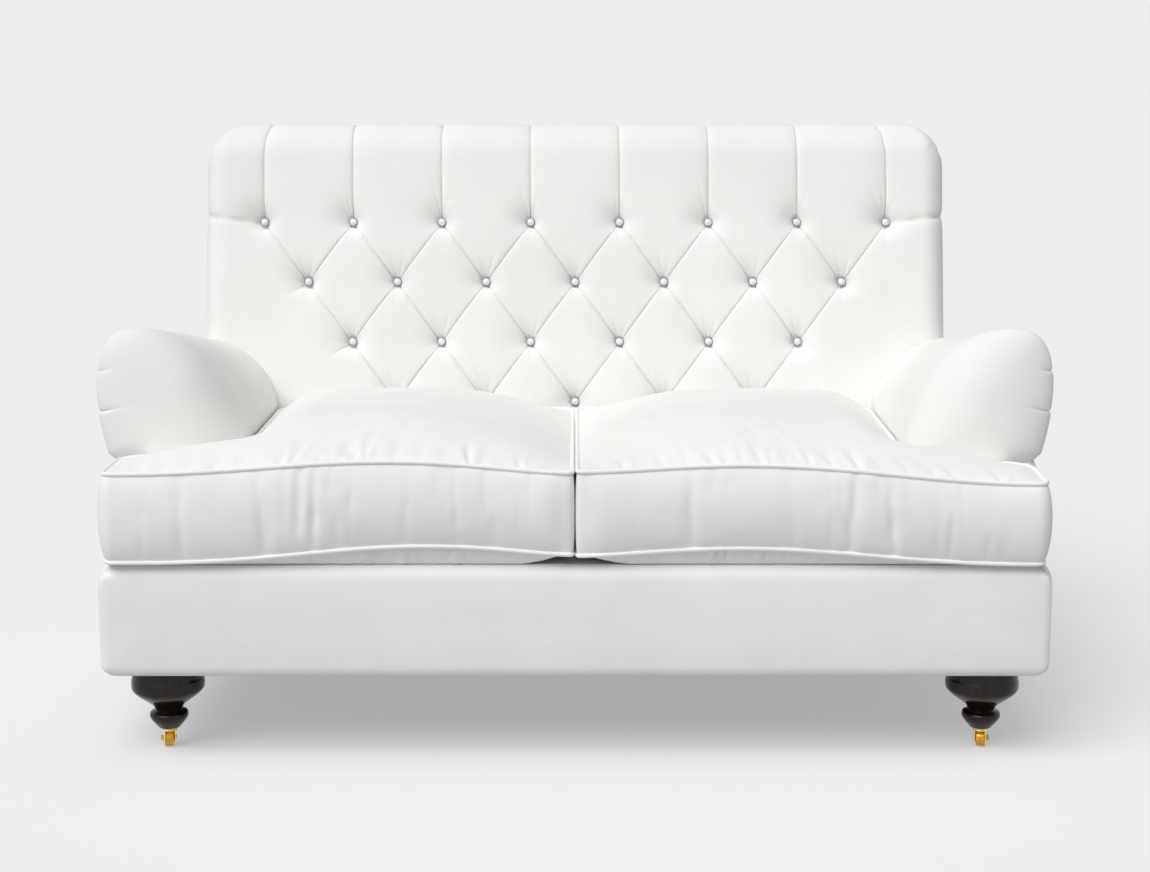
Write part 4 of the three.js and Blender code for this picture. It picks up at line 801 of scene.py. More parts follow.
# the small pleats round a button: angle in degrees, length and depth of each
FAN = ((60, 24, 0.9), (76, 40, 1.4), (91, 32, 1.1), (103, 54, 1.8), (116, 48, 1.6), (129, 42, 1.4),
       (147, 32, 1.1), (172, 26, 0.9), (250, 24, 1.0), (268, 30, 1.2), (287, 24, 0.9))


def button_pits(x, along, seed):
    """The pit at each button, and the fan of small pleats that runs into it."""
    draw = random.Random(seed)
    drawn = np.zeros(x.shape)
    for middle, level in buttons:
        dx, dv = x - middle, along - level
        near = np.hypot(dx, dv)
        close = near < 110
        dx, dv, near = dx[close], dv[close], near[close]
        leftward = np.maximum(np.cos(np.arctan2(dv, dx) - 2.6), 0)
        pit = 25 * np.exp(-(near / (17 + 12 * leftward)) ** 1.3)
        for angle, length, deep in FAN:
            ray = math.radians(angle + draw.uniform(-4, 4))
            ahead = dx * math.cos(ray) + dv * math.sin(ray)
            off = np.abs(dv * math.cos(ray) - dx * math.sin(ray)) / (1.15 + 0.03 * near)
            fade = np.exp(-(near / (length * draw.uniform(0.8, 1.1))) ** 2) * ease(near, 4, 12)
            pit += 2.6 * deep * fade * np.where(ahead > 0, np.exp(-off) - 0.25 * np.exp(-(off / 3) ** 2), 0)
        drawn[close] = np.maximum(drawn[close], pit)
    return drawn


def end_creases(x, along):
    """The creases that run out from the end buttons, and the seam of the top corners."""
    wide = np.abs(x)
    drawn = np.zeros(x.shape)
    side_pleat, share = line_distance(wide, along, (end_column, TOP_ROW), (back_half + 20, TOP_ROW + 14))
    drawn += groove(side_pleat, 5.4, 1.4) + 4.0 * (1 - swell(side_pleat, 55, 3.0)) * (1 - 0.6 * share)
    for row, length in ((1, 46), (2, 58)):
        start = (end_column - row * HALF_PITCH, TOP_ROW - row * ROW_STEP)
        tip = (start[0] + length * math.cos(0.55), start[1] - length * math.sin(0.55))
        tail, share = line_distance(wide, along, start, tip)
        drawn += groove(tail, 5.0, 1.3) * (1 - share) + 4 * np.exp(-(tail / 14) ** 2) * (1 - share) ** 2
    seam_path = ((back_half + 6, back_top - 58), (back_half - 42, back_top - 34),
                 (end_column - 12, back_top - 28))
    for start, end in zip(seam_path, seam_path[1:]):
        drawn += 2.4 * np.exp(-line_distance(wide, along, start, end)[0] / 1.5)
    return drawn


print("pleats lie", round(PLEAT_NORMAL * 2), "mm apart")

# %% Back pad
def crowded(start, end, count):
    """Places between two ends, closer together near both of them."""
    t = np.linspace(0, 1, count + 1)
    return start + (end - start) * (t - 0.2 * np.sin(2 * np.pi * t) / (2 * np.pi))


def rolled(edge, radius, inward):
    """Places that go round a rolled edge at even steps, ending on it."""
    turn = np.linspace(0, math.pi / 2, 14)[1:]
    return edge - inward * radius * (1 - np.sin(turn))


def towards_odd(value, pull):
    """Draws places on a number line towards the odd whole numbers, where the pleats run."""
    return value + pull * np.sin(math.pi * value) / math.pi


def back_grid(steps=34):
    """Columns and rows of the back, and the way that each face is split."""
    columns = [crowded(k * HALF_PITCH, (k + 1) * HALF_PITCH, steps)[1:] for k in range(TOP_COUNT - 1)]
    margin = spread(end_column, back_half - SIDE_ROLL, 4.2)[1:]
    half = np.concatenate([[0.0], *columns, margin, rolled(back_half, SIDE_ROLL, 1)])
    across = np.concatenate([-half[:0:-1], half])
    foot = TOP_ROW - ROWS * ROW_STEP
    rows = [crowded(foot + k * ROW_STEP, foot + (k + 1) * ROW_STEP, steps)[1:] for k in range(ROWS)]
    upper = spread(TOP_ROW, back_top - TOP_ROLL, 5.0)[1:]
    low = spread(foot - 30, foot, 6.0)
    up = np.concatenate([low, *rows, upper, rolled(back_top, TOP_ROLL, 1)])
    x, along = np.meshgrid(across, up)
    level = np.clip((along - TOP_ROW) / ROW_STEP, -ROWS, 0)
    pull = 0.6 * (1 - ease(np.abs(x) / HALF_PITCH, TOP_COUNT - 1, TOP_COUNT - 0.4))
    rising, falling = towards_odd(x / HALF_PITCH + level, pull), towards_odd(x / HALF_PITCH - level, pull)
    x, along = HALF_PITCH * (rising + falling) / 2, along + ROW_STEP * ((rising - falling) / 2 - level)
    cell_x, cell_up = (across[1:] + across[:-1]) / 2, (up[1:] + up[:-1]) / 2
    column, row = np.meshgrid(np.floor(cell_x / HALF_PITCH), np.floor((cell_up - TOP_ROW) / ROW_STEP))
    return x, along, (column + row) % 2 == 1


def back_base(x, along):
    """The unbuttoned front: a leaning plane, rolled over at its top and sides."""
    into = np.clip(along - (back_top - CORNER), 0, CORNER)
    half = back_half - CORNER + np.sqrt(CORNER ** 2 - into ** 2)
    inner = end_column - 20
    wide = np.abs(x)
    squeezed = np.where(wide > inner, inner + (wide - inner) * (half - inner) / (back_half - inner), wide)
    top = np.clip(TOP_ROLL - (back_top - along), 0, TOP_ROLL)
    side = np.clip(SIDE_ROLL - (back_half - wide), 0, SIDE_ROLL)
    drop = np.hypot(TOP_ROLL - np.sqrt(TOP_ROLL ** 2 - top ** 2),
                    SIDE_ROLL - np.sqrt(SIDE_ROLL ** 2 - side ** 2))
    return np.sign(x) * squeezed, along, pulled_in(along) + PUFF - drop


def grid_normals(x, along, out):
    """The unit normal at each point of a grid, facing out."""
    place = np.stack([x, along, out], axis=-1)
    normal = np.cross(np.gradient(place, axis=1), np.gradient(place, axis=0))
    return normal / np.linalg.norm(normal, axis=-1, keepdims=True)


def back_pad():
    """The whole padded back, closed behind."""
    x, along, rising = back_grid()
    base = back_base(x, along)
    normal = grid_normals(*base)
    depth = diamond_folds(x, along) + top_pleats(x, along) + button_pits(x, along, 5) + end_creases(x, along)
    front = [place - depth * normal[..., k] for k, place in enumerate(base)]
    shell = Shell()
    ids = shell.add(*from_back(*front))
    shell.skin(ids, rising=rising)
    rim = np.concatenate([ids[0, :-1], ids[:-1, -1], ids[-1, :0:-1], ids[:0:-1, 0]])
    rim_x, rim_along, rim_out = (place.reshape(-1)[rim] for place in front)
    wall = [rim]
    for share in (0.9, 0.75, 0.55, 0.35, 0.18, 0.06, 0.0):
        wall.append(shell.add(*from_back(rim_x, rim_along, np.maximum(rim_out * share, 1.0))))
    shell.skin(np.vstack(wall), closed=True)
    shell.cap(wall[-1])
    return shell.build("buttoned_back", cotton)


back = seat_on(back_pad(), "frame", ["back_pad"])

# %% [markdown]
# ## The buttons
# Each button is a small pearl dome in a dark nickel rim, sitting in its pit and facing the way the back leans. One
# button is turned on a lathe, and Geometry Nodes sets a copy on every point of the pattern, turned by the
# same lean. A twine runs from each button through the wadding to a tape behind it, as a real one does.

# %% Lathe
def lathe(name, profile, material, segments=48, axis="Z", centre=(0, 0, 0), sharp_degrees=None, turn=0.0):
    """A turned piece from (radius, height) pairs in millimetres, closed on its axis or on itself."""
    shell = Shell()
    profile = np.array(profile, float)
    angle = np.linspace(0, 2 * math.pi, segments, endpoint=False)
    radius, height = profile[:, 0][:, None], profile[:, 1][:, None]
    around, beside, height = np.broadcast_arrays(radius * np.cos(angle), radius * np.sin(angle), height)
    if axis == "X":
        around, beside, height = height, around, beside
    if axis == "Y":
        around, beside, height = around, height, beside
    x = around * math.cos(turn) - beside * math.sin(turn)
    y = around * math.sin(turn) + beside * math.cos(turn)
    ids = shell.add(x + centre[0], y + centre[1], height + centre[2])
    shell.skin(ids, closed=True)
    return shell.build(name, material, sharp_degrees)


def arc(middle, radius, start, end, steps=6):
    """Points of a round stretch of a profile, angles in degrees."""
    return [(middle[0] + radius * math.cos(math.radians(a)), middle[1] + radius * math.sin(math.radians(a)))
            for a in np.linspace(start, end, steps)]


print("a quarter round in", len(arc((0, 0), 1, 0, 90)), "points")

# %% Buttons on their points
BUTTON_STAND_OFF = 16.0
button_shape = lathe("one_button", [(0, 0), (6.8, 0)] + arc((6.6, 1.6), 1.0, -90, 70, 5)
                     + [(6.0, 2.0)] + arc((0, -0.9), 6.6, 25, 90, 7), pearl, segments=32)


def on_points_tree(name, material):
    """A copy of one shape on every point, turned by the angles given."""
    tree, source = new_tree(name, {"Shape": ("NodeSocketObject", None),
                                   "Turn": ("NodeSocketVector", (0.0, 0.0, 0.0))})
    shape = add_node(tree, "GeometryNodeObjectInfo", {"Object": source["Shape"], "As Instance": True})
    points = add_node(tree, "GeometryNodeMeshToPoints", {"Mesh": source["Geometry"]})
    turn = add_node(tree, "FunctionNodeEulerToRotation", {"Euler": source["Turn"]})
    placed = add_node(tree, "GeometryNodeInstanceOnPoints", {
        "Points": points.outputs["Points"], "Instance": shape.outputs["Geometry"],
        "Rotation": turn.outputs["Rotation"]})
    end_tree(tree, placed.outputs["Instances"], material)
    return tree


lean_back = BACK_LEAN + math.atan(BACK_TAPER)
button_points = [from_back(x, along, pulled_in(along) + BUTTON_STAND_OFF) for x, along in buttons]
button_tree = on_points_tree("set_on_points", pearl)
button_piece = grow("back_buttons", button_points, [], button_tree,
                    {"Shape": button_shape, "Turn": (math.pi / 2 - lean_back, 0.0, 0.0)})
seat_on(button_piece, "frame", [f"button_row_{row + 1}" for row in range(ROWS)])
rim_shape = lathe("one_rim", arc((7.0, 1.3), 1.15, 0, 330, 12), nickel, segments=32)
rims = grow("back_button_rims", button_points, [], on_points_tree("set_rims", nickel),
            {"Shape": rim_shape, "Turn": (math.pi / 2 - lean_back, 0.0, 0.0)})
seat_on(rims, "frame")
bpy.data.objects.remove(button_shape)
bpy.data.objects.remove(rim_shape)

# %% Twines and tapes behind the wadding
twine_ends = [from_back(x, along, out) for x, along in buttons for out in (46.0, pulled_in(along) + 8)]
twine_edges = [(2 * i, 2 * i + 1) for i in range(len(buttons))]
twines = grow("button_twines", twine_ends, twine_edges, piping_tree(zip_tape), {"Radius": 1.4 * MM})
seat_on(twines, "frame")
tape = Shell()
for row in range(ROWS):
    ends = [x for x, along in buttons if along == TOP_ROW - row * ROW_STEP]
    level = TOP_ROW - row * ROW_STEP
    ribbon = np.array([(level - 10, 43.9), (level + 10, 43.9), (level + 10, 45.6), (level - 10, 45.6)])
    span = np.array([ends[0] - 22, ends[-1] + 22])[:, None]
    tape.tube(*from_back(span, ribbon[:, 0], ribbon[:, 1]))
seat_on(tape.build("button_tapes", zip_tape, 30), "frame")

# %% [markdown]
# ## The rolled arms
# A low arm is a padded board: the cloth goes up the inside, over a full roll and down the outside, and its
# front is drawn to a soft nose, where the spare cloth is tucked into two short pleats on the outer edge. One
# section, smoothed through a few listed points, is carried back along the arm and drawn in at the nose.

# %% The arm's section and its folds
ARM_FRONT_TOP, ARM_REAR_TOP, ARM_FOOT = 683.0, 567.0, 470.0
INNER_ROUND, OUTER_ROUND, BLUNT, NOSE_MIDDLE = 118.0, 36.0, 0.86, (116, 62)
arm_front = arm_low[1]
arm_wall = ARM_FOOT - deck_level - 2
arm_length = back_foot + 30 - arm_front
ARM_SECTION_SHARES = [(0, 0), (0.012, 0.16), (0.05, 0.33), (0.11, 0.5), (0.19, 0.65), (0.29, 0.79), (0.41, 0.9),
                      (0.54, 0.97), (0.67, 1.0), (0.8, 0.995), (0.905, 0.955), (0.983, 0.865), (1.032, 0.72),
                      (1.048, 0.54), (1.042, 0.36), (1.018, 0.18), (0.98, 0)]
TUCKS = ((607.0, 4.0, 26), (540.0, 4.6, 36))


def through(points, places):
    """A smooth line through points, at places counted in points."""
    points = np.array(points, float)
    padded = np.vstack([2 * points[0] - points[1], points, 2 * points[-1] - points[-2]])
    k = np.minimum(places.astype(int), len(points) - 2)
    t = (places - k)[:, None]
    a, b, c, d = padded[k], padded[k + 1], padded[k + 2], padded[k + 3]
    return 0.5 * (2 * b + (c - a) * t + (2 * a - 5 * b + 4 * c - d) * t * t + (3 * b - a - 3 * c + d) * t ** 3)


def arm_outline():
    """The closed section as shares across and up: over the roll, down the outside wall, up the inside wall."""
    places = np.concatenate([spread(0, 10, 0.09), spread(10, 15.6, 0.026)[1:], spread(15.6, 16, 0.1)[1:]])
    across, up = through(ARM_SECTION_SHARES, places).T
    drop = spread(0, 1, 0.08)[1:]
    outer = mix(across[-1], 0.815, ease(drop, 0, 0.2))
    return np.concatenate([across, outer, 0 * drop]), np.concatenate([up, -drop, drop - 1.08])


def nose_round(across, up):
    """How far back the round of the nose reaches: wide inside the arm, tight outside it."""
    return mix(OUTER_ROUND, INNER_ROUND, (1 - ease(across, 0, 0.9)) * ease(up, -0.35, 0.55))


def nose_tucks(x, y, z):
    """The two pleats where the spare cloth of the nose is tucked in: a sharp edge below, a soft swell above."""
    inward = np.maximum(arm_high[0] + 9 - x, 0)
    backward = np.maximum(y - arm_front - OUTER_ROUND, 0)
    pressed = np.zeros(x.shape)
    for level, deep, reach in TUCKS:
        off = z - level - 0.25 * inward
        edge = 0.62 * np.exp(-np.abs(off) / 1.4) + 0.38 * np.exp(-np.abs(off) / np.where(off < 0, 3, 12))
        pressed += deep * edge * np.exp(-(inward / reach) ** 2 - (backward / 30) ** 2)
    return pressed


print("arm section has", len(arm_outline()[0]), "points")


# %% Arms
def arm_pad(name, side):
    """One arm: a rounded nose, the roll behind it, and the wall that stands on the seat."""
    across, up = arm_outline()
    reach = nose_round(across, np.maximum(up, 0))
    rear_level = ARM_FOOT + np.where(up < 0, arm_wall, ARM_REAR_TOP - ARM_FOOT) * up
    rear = back_foot - 0.5 + (rear_level - base_bottom) * math.tan(BACK_LEAN) - arm_front
    turn = spread(0.07, math.pi / 2, 0.045)[:, None]
    reach_to_pad = pad_face(rear_level) - arm_front
    before = mix(reach, reach_to_pad, spread(0, 1, 0.045)[1:, None])
    after = mix(reach_to_pad + 0.2, rear, np.array([0, 0.008, 0.03, 0.07, 0.12, 0.2, 0.4, 0.7, 1])[:, None])
    depth = np.vstack([reach * (1 - np.cos(turn) ** BLUNT), before, after])
    inward = np.vstack([np.sin(turn) ** BLUNT, np.ones((len(before) + len(after), 1))])
    height = mix(ARM_FRONT_TOP, ARM_REAR_TOP, depth / arm_length)
    x = arm_low[0] + (arm_high[0] - arm_low[0]) * across + 0 * depth
    z = ARM_FOOT + np.where(up < 0, arm_wall, height - ARM_FOOT) * up
    middle_x, middle_z = arm_low[0] + NOSE_MIDDLE[0], ARM_FOOT + NOSE_MIDDLE[1]
    x, z = middle_x + (x - middle_x) * inward, middle_z + (z - middle_z) * inward
    y = arm_front + depth
    normal = np.cross(np.stack(np.gradient(np.stack([x, y, z]), axis=1), -1),
                      np.stack([(np.roll(v, -1, 1) - np.roll(v, 1, 1)) for v in (x, y, z)], -1))
    normal /= np.linalg.norm(normal, axis=-1, keepdims=True)
    outwards = np.sign((normal * np.stack([x - middle_x, 0 * y - 9, z - middle_z], -1)).sum(-1))[..., None]
    ripple = 0.5 * np.sin(depth / 31 + 4 * across) * ease(depth, 60, 200) * ease(reach_to_pad - depth, 0, 90)
    shift = outwards * normal * (nose_tucks(x, y, z) + ripple)[..., None]
    x, y, z = x - shift[..., 0], y - shift[..., 1], z - shift[..., 2]
    behind = np.clip(depth - reach_to_pad, 0, SIDE_ROLL)
    beside = back_half - SIDE_ROLL + np.sqrt(SIDE_ROLL ** 2 - (SIDE_ROLL - behind) ** 2) - 4
    x = np.where(depth > reach_to_pad + 0.1, np.maximum(x, beside), x)
    shell = Shell()
    shell.tube(side * x, y, z)
    return shell.build(name, cotton)


def pad_face(level):
    """Where the face of the back pad stands at a height, a little inside its wadding."""
    along = (level - base_bottom) / math.cos(BACK_LEAN)
    return from_back(0, along, pulled_in(along) + PUFF)[1] + 5


for side_name, side in SIDES:
    arm = arm_pad(f"{side_name}_rolled_arm", side)
    seat_on(arm, "frame", [f"{side_name}_arm_pad"])

# %% [markdown]
# ## The border, the outside panels and the deck
# Under the cushions runs a deep padded border, and each side and the outside back is one stretched panel.
# They are flat boards under a thin layer of wadding: full in the middle, turned over their edges. One function
# makes them all: a grid cut to the panel's outline, raised by its distance to the edge, and closed behind.

# %% Padded panels
def padded_panel(name, across, up, place, thick, roll, fullness, corners=(), cells=None, edge=None,
                 material=cotton):
    """A panel on a grid; place(u, v, height) gives x, y, z, and thick is the height of its face."""
    u, v = np.meshgrid(across, up)
    if edge is None:
        near = np.minimum.reduce([u - across[0], across[-1] - u, v - up[0], up[-1] - v])
    else:
        near = edge(u, v)
    near = np.maximum(near, 0)
    turned = np.clip(roll - near, 0, roll)
    face = thick - roll + np.sqrt(roll ** 2 - turned ** 2)
    full = fullness * swell(near - roll * 0.2, 70, 2.0)
    for corner, radius, side in corners:
        u, v = round_corner(u, v, corner, radius, side)
    shell = Shell()
    cells = cells_without(u.shape) if cells is None else cells
    two_skins(shell, place(u, v, face + full), place(u, v, np.zeros_like(u)), cells)
    return shell.build(name, material)


def two_skins(shell, upper, lower, cells):
    """Skins two grids of points on the same cells, and joins them round their outline."""
    top, foot = shell.add(*upper), shell.add(*lower)
    shell.skin(top, keep=cells)
    shell.skin(foot, keep=cells)
    for a, b in outline_steps(cells):
        shell.faces.append([int(top[a]), int(top[b]), int(foot[b]), int(foot[a])])


def outline_steps(cells):
    """The grid steps that have cloth on one side only."""
    rows, columns = cells.shape
    padded = np.zeros((rows + 2, columns + 2), bool)
    padded[1:-1, 1:-1] = cells
    steps = []
    for j in range(rows + 1):
        for i in range(columns + 1):
            if i < columns and padded[j + 1, i + 1] != padded[j, i + 1]:
                steps.append(((j, i), (j, i + 1)))
            if j < rows and padded[j + 1, i + 1] != padded[j + 1, i]:
                steps.append(((j, i), (j + 1, i)))
    return steps


def edged(start, end, step, roll):
    """Places along a panel that crowd together where its edges roll over."""
    turn = roll * (1 - np.cos(np.linspace(0, math.pi / 2, 7)))
    inner = spread(start + roll, end - roll, step)
    return np.concatenate([start + turn[:-1], inner, (end - turn)[::-1][1:]])


# %% Front border
border_low, border_high = corners_mm("front_border")
BORDER_ROLL, BORDER_WIDER = 19.0, 6.0
border_columns = edged(border_low[0] - BORDER_WIDER, border_high[0] + BORDER_WIDER, 9.0, BORDER_ROLL)
border_rows = edged(border_low[2], border_high[2], 8.0, BORDER_ROLL)


def on_border(u, v, height):
    """The border's face looks forward."""
    return u, border_high[1] - height, v


def border_edge(u, v):
    """Distance to the edge of the border, which rolls over most along its top."""
    ends = np.minimum(u - border_columns[0], border_columns[-1] - u) + 7
    return np.minimum.reduce([ends, v - border_low[2] + 5, border_high[2] - v])


border_corners = [((sx * border_columns[-1], level), radius, (sx, sz)) for sx in (-1, 1)
                  for level, radius, sz in ((border_low[2], 22, -1), (border_high[2], 38, 1))]
border = padded_panel("padded_front_border", border_columns, border_rows, on_border,
                      border_high[1] - border_low[1], BORDER_ROLL, 4.0, border_corners, edge=border_edge)
seat_on(border, "frame", ["front_border"])

# %% Outside panels
panel_low, panel_high = corners_mm("right_outside_panel")
PANEL_ROLL, SIDE_TOP_ROLL = 9.0, 36.0
panel_top = panel_high[2] + 14


def side_edge(u, v):
    """Distance to the edge of an outside panel, which is lower in front of the arm."""
    ends = np.minimum.reduce([u - panel_low[1], v - panel_low[2], panel_high[2] - v, rear_line(v) - u])
    notch = np.hypot(np.maximum(u - arm_front, 0), np.maximum(deck_level - v, 0))
    return np.minimum(ends, notch)


def rear_line(v):
    """The panel's rear edge leans back with the outside back."""
    return back_foot + (v - base_bottom) * math.tan(BACK_LEAN)


fore, aft = edged(panel_low[1], arm_front, 9.0, PANEL_ROLL), edged(arm_front, back_foot, 10.0, PANEL_ROLL)
under = edged(panel_low[2], deck_level, 9.0, PANEL_ROLL)
columns = np.concatenate([fore, aft[1:]])
rows = np.concatenate([under, edged(deck_level, panel_top, 10.0, PANEL_ROLL)[1:]])
cells = cells_without((len(rows), len(columns)), np.s_[len(under) - 1:, :len(fore) - 1])
side_corners = [((panel_low[1], panel_low[2]), 14, (-1, -1)), ((panel_low[1], deck_level), 8, (-1, 1)),
                ((arm_front, panel_top), 82, (-1, 1))]
for side_name, side in SIDES:
    def on_side(u, v, height, side=side):
        """The face looks outwards; its rear edge follows the lean, its top rolls in before the arm."""
        lean = np.clip((u - arm_front) / (back_foot - arm_front), 0, 1)
        rolled = np.clip(1 - (deck_level - v) / SIDE_TOP_ROLL, 0, 1) * (v <= deck_level + 0.01)
        before_arm = 1 - ease(u, arm_front - 40, arm_front - 6)
        height = height * (1 - 0.9 * (1 - np.sqrt(1 - rolled ** 2)) * before_arm)
        return side * (panel_low[0] + height), u + lean * (rear_line(v) - back_foot), v

    panel = padded_panel(f"{side_name}_outside_side", columns, rows, on_side, panel_high[0] - panel_low[0],
                         PANEL_ROLL, 7.0, side_corners, cells, side_edge)
    seat_on(panel, "frame", [f"{side_name}_outside_panel"])

# %% Outside back
BACK_PANEL_THICK, BACK_PANEL_ROLL, SHOULDER_UP = 8.0, 6.0, 405.0
outer_half = panel_high[0]
ears = edged(back_half, outer_half, 8.0, BACK_PANEL_ROLL)
between_ears = edged(-back_half, back_half, 12.0, BACK_PANEL_ROLL)
low_rows = edged(0, SHOULDER_UP, 12.0, BACK_PANEL_ROLL)
back_columns = np.concatenate([-ears[::-1], between_ears[1:-1], ears])
back_rows = np.concatenate([low_rows, edged(SHOULDER_UP, back_top, 12.0, BACK_PANEL_ROLL)[1:]])
low_count, ear_count = len(low_rows) - 1, len(ears) - 1
back_cells = cells_without((len(back_rows), len(back_columns)), np.s_[low_count:, :ear_count],
                           np.s_[low_count:, -ear_count:])


def back_edge(u, v):
    """Distance to the edge of the outside back: wide behind the arms, narrower above them."""
    wide = np.abs(u)
    upper = np.hypot(np.maximum(back_half - wide, 0), np.maximum(SHOULDER_UP - v, 0))
    return np.minimum.reduce([outer_half - wide, v, back_top - v, upper])


def on_outside_back(u, v, height):
    """The face looks to the rear and leans with the back."""
    return from_back(u, v, -0.3 - height)


panel_corners = [((sx * back_half, back_top), CORNER, (sx, 1)) for sx in (-1, 1)]
panel_corners += [((sx * outer_half, SHOULDER_UP), 40, (sx, 1)) for sx in (-1, 1)]
panel_corners += [((sx * outer_half, 0), 12, (sx, -1)) for sx in (-1, 1)]
outside_back = padded_panel("outside_back", back_columns, back_rows, on_outside_back, BACK_PANEL_THICK,
                            BACK_PANEL_ROLL, 4.0, panel_corners, back_cells, back_edge)
seat_on(outside_back, "frame", ["outside_back_panel"])

# %% Seat deck
felt_low, felt_high = corners_mm("seat_deck")
felt_columns, felt_rows = (edged(felt_low[k], felt_high[k], 16, 6) for k in (0, 1))
deck = padded_panel("felt_seat_deck", felt_columns, felt_rows,
                    lambda u, v, height: (u, v, felt_low[2] + height), felt_high[2] - felt_low[2], 6.0, 0.0,
                    material=seat_felt)
seat_on(deck, "frame", ["seat_deck"])

# %% [markdown]
# ## Under the seat
# A black dust cloth closes the frame from below. It is cut round the four legs, it hangs a few
# millimetres between the rails, and staples hold it every few centimetres. The sheet is a grid
# whose cells inside a leg are dropped, and whose points at the hole's edge are drawn onto it.

# %% Dust cloth
FRONT_LEG, REAR_LEG = (660.0, -376.0), (640.0, 308.3)
FRONT_HOLE, REAR_HOLE, SHEET_DROOP, SHEET_THICK = 59.5, 33.0, 2.2, 0.9
cloth_low, cloth_high = corners_mm("dust_cover")
cloth_across = spread(cloth_low[0], cloth_high[0], 10)
cloth_back = spread(cloth_low[1], cloth_high[1], 10)
u, v = np.meshgrid(cloth_across, cloth_back)
to_front = np.hypot(np.abs(u) - FRONT_LEG[0], v - FRONT_LEG[1]) / FRONT_HOLE
to_rear = np.maximum(np.abs(np.abs(u) - REAR_LEG[0]), np.abs(v - REAR_LEG[1])) / REAR_HOLE
outside = [(near[:-1, :-1] >= 1) | (near[1:, :-1] >= 1) | (near[:-1, 1:] >= 1) | (near[1:, 1:] >= 1)
           for near in (to_front, to_rear)]
cells = outside[0] & outside[1]
for near, (leg_x, leg_y) in ((to_front, FRONT_LEG), (to_rear, REAR_LEG)):
    reach = 1 / np.where(near < 1, np.maximum(near, 0.05), 1)
    away_x, away_y = np.abs(u) - leg_x, v - leg_y
    v = leg_y + away_y * reach
    u = np.sign(u) * (leg_x + away_x * reach)
from_edge = np.minimum(cloth_high[0] - np.abs(u), np.minimum(v - cloth_low[1], cloth_high[1] - v))
droop = SHEET_DROOP * swell(from_edge, 300)
sheet = Shell()
two_skins(sheet, (u, v, cloth_high[2] - droop), (u, v, cloth_high[2] - SHEET_THICK - droop), cells)
dust = sheet.build("dust_cloth_sheet", dust_cloth)
seat_on(dust, "frame", ["dust_cover"])

# %% Staples
def small_bar(name, long, wide, heights, material):
    """A sharp-edged bar, for what is set by the hundred: a staple's back, a zip's tooth."""
    bar = Shell()
    low, high = heights
    ends = np.array([[-long / 2], [long / 2]])
    bar.tube(ends, np.array([-wide, wide, wide, -wide]) / 2, np.array([low, low, high, high]))
    return bar.build(name, material, 30)


staple_shape = small_bar("one_staple", 10.0, 1.0, (-0.8, 0), zinc_steel)
staple_tree = on_points_tree("set_staples", zinc_steel)
staple_level = cloth_high[2] - 1.0
front_staples = [(x, y, staple_level) for x in spread(-570, 570, 42)
                 for y in (cloth_low[1] + 9, cloth_high[1] - 9)]
side_staples = [(sx * (cloth_high[0] - 9), y, staple_level) for y in spread(-290, 250, 42) for sx in (-1, 1)]
rows = [grow("dust_cloth_staples_across", front_staples, [], staple_tree, {"Shape": staple_shape}),
        grow("dust_cloth_staples_along", side_staples, [], staple_tree,
             {"Shape": staple_shape, "Turn": (0.0, 0.0, math.pi / 2)})]
for row in rows:
    seat_on(row, "frame")
bpy.data.objects.remove(staple_shape)

# %% [markdown]
# ## Legs and castors
# The front legs are turned: a deep bowl under the border, drawn to a thin neck with a flattened ball below
# it, and a brass castor under that. The rear legs, which the photograph doesn't show, are square and raked.
# Turned parts come from the lathe with small rounds on every edge, because a round edge catches the light,
# and the flat ones are blocks with bevelled edges. A castor trails behind its stem, so the forks point back
# and a little outwards.

# %% Turned front legs
LEG_TOP = base_bottom - 0.3
BOWL = [(58.2, 122.4), (58.7, 119), (58.9, 113), (58.2, 106.5), (55.4, 102), (50.6, 97.2), (43.0, 91.2),
        (34.2, 84.8), (27.6, 79.4), (23.4, 74.4), (21.4, 70.4)]
BALL = [(26.6, 67.0), (29.6, 65.2), (31.0, 62.0), (30.8, 58.0), (28.6, 53.4), (25.0, 48.6), (21.4, 44.4),
        (18.6, 41.2)]
leg_profile = [(0, LEG_TOP), (57.0, LEG_TOP), (57.3, 124.4), (57.7, 123.6)]
leg_profile += through(BOWL, np.linspace(0, 10, 60)).tolist() + [(21.1, 69.0), (21.8, 68.2), (24.0, 67.8)]
leg_profile += through(BALL, np.linspace(0, 7, 34)).tolist() + [(17.2, 39.4), (16.2, 38.9), (0, 38.9)]
for side_name, side in SIDES:
    leg = lathe(f"{side_name}_turned_front_leg", leg_profile, espresso_wood, 96,
                centre=(side * FRONT_LEG[0], FRONT_LEG[1], 0), sharp_degrees=48)
    seat_on(leg, "frame", [f"front_{side_name}_leg"])


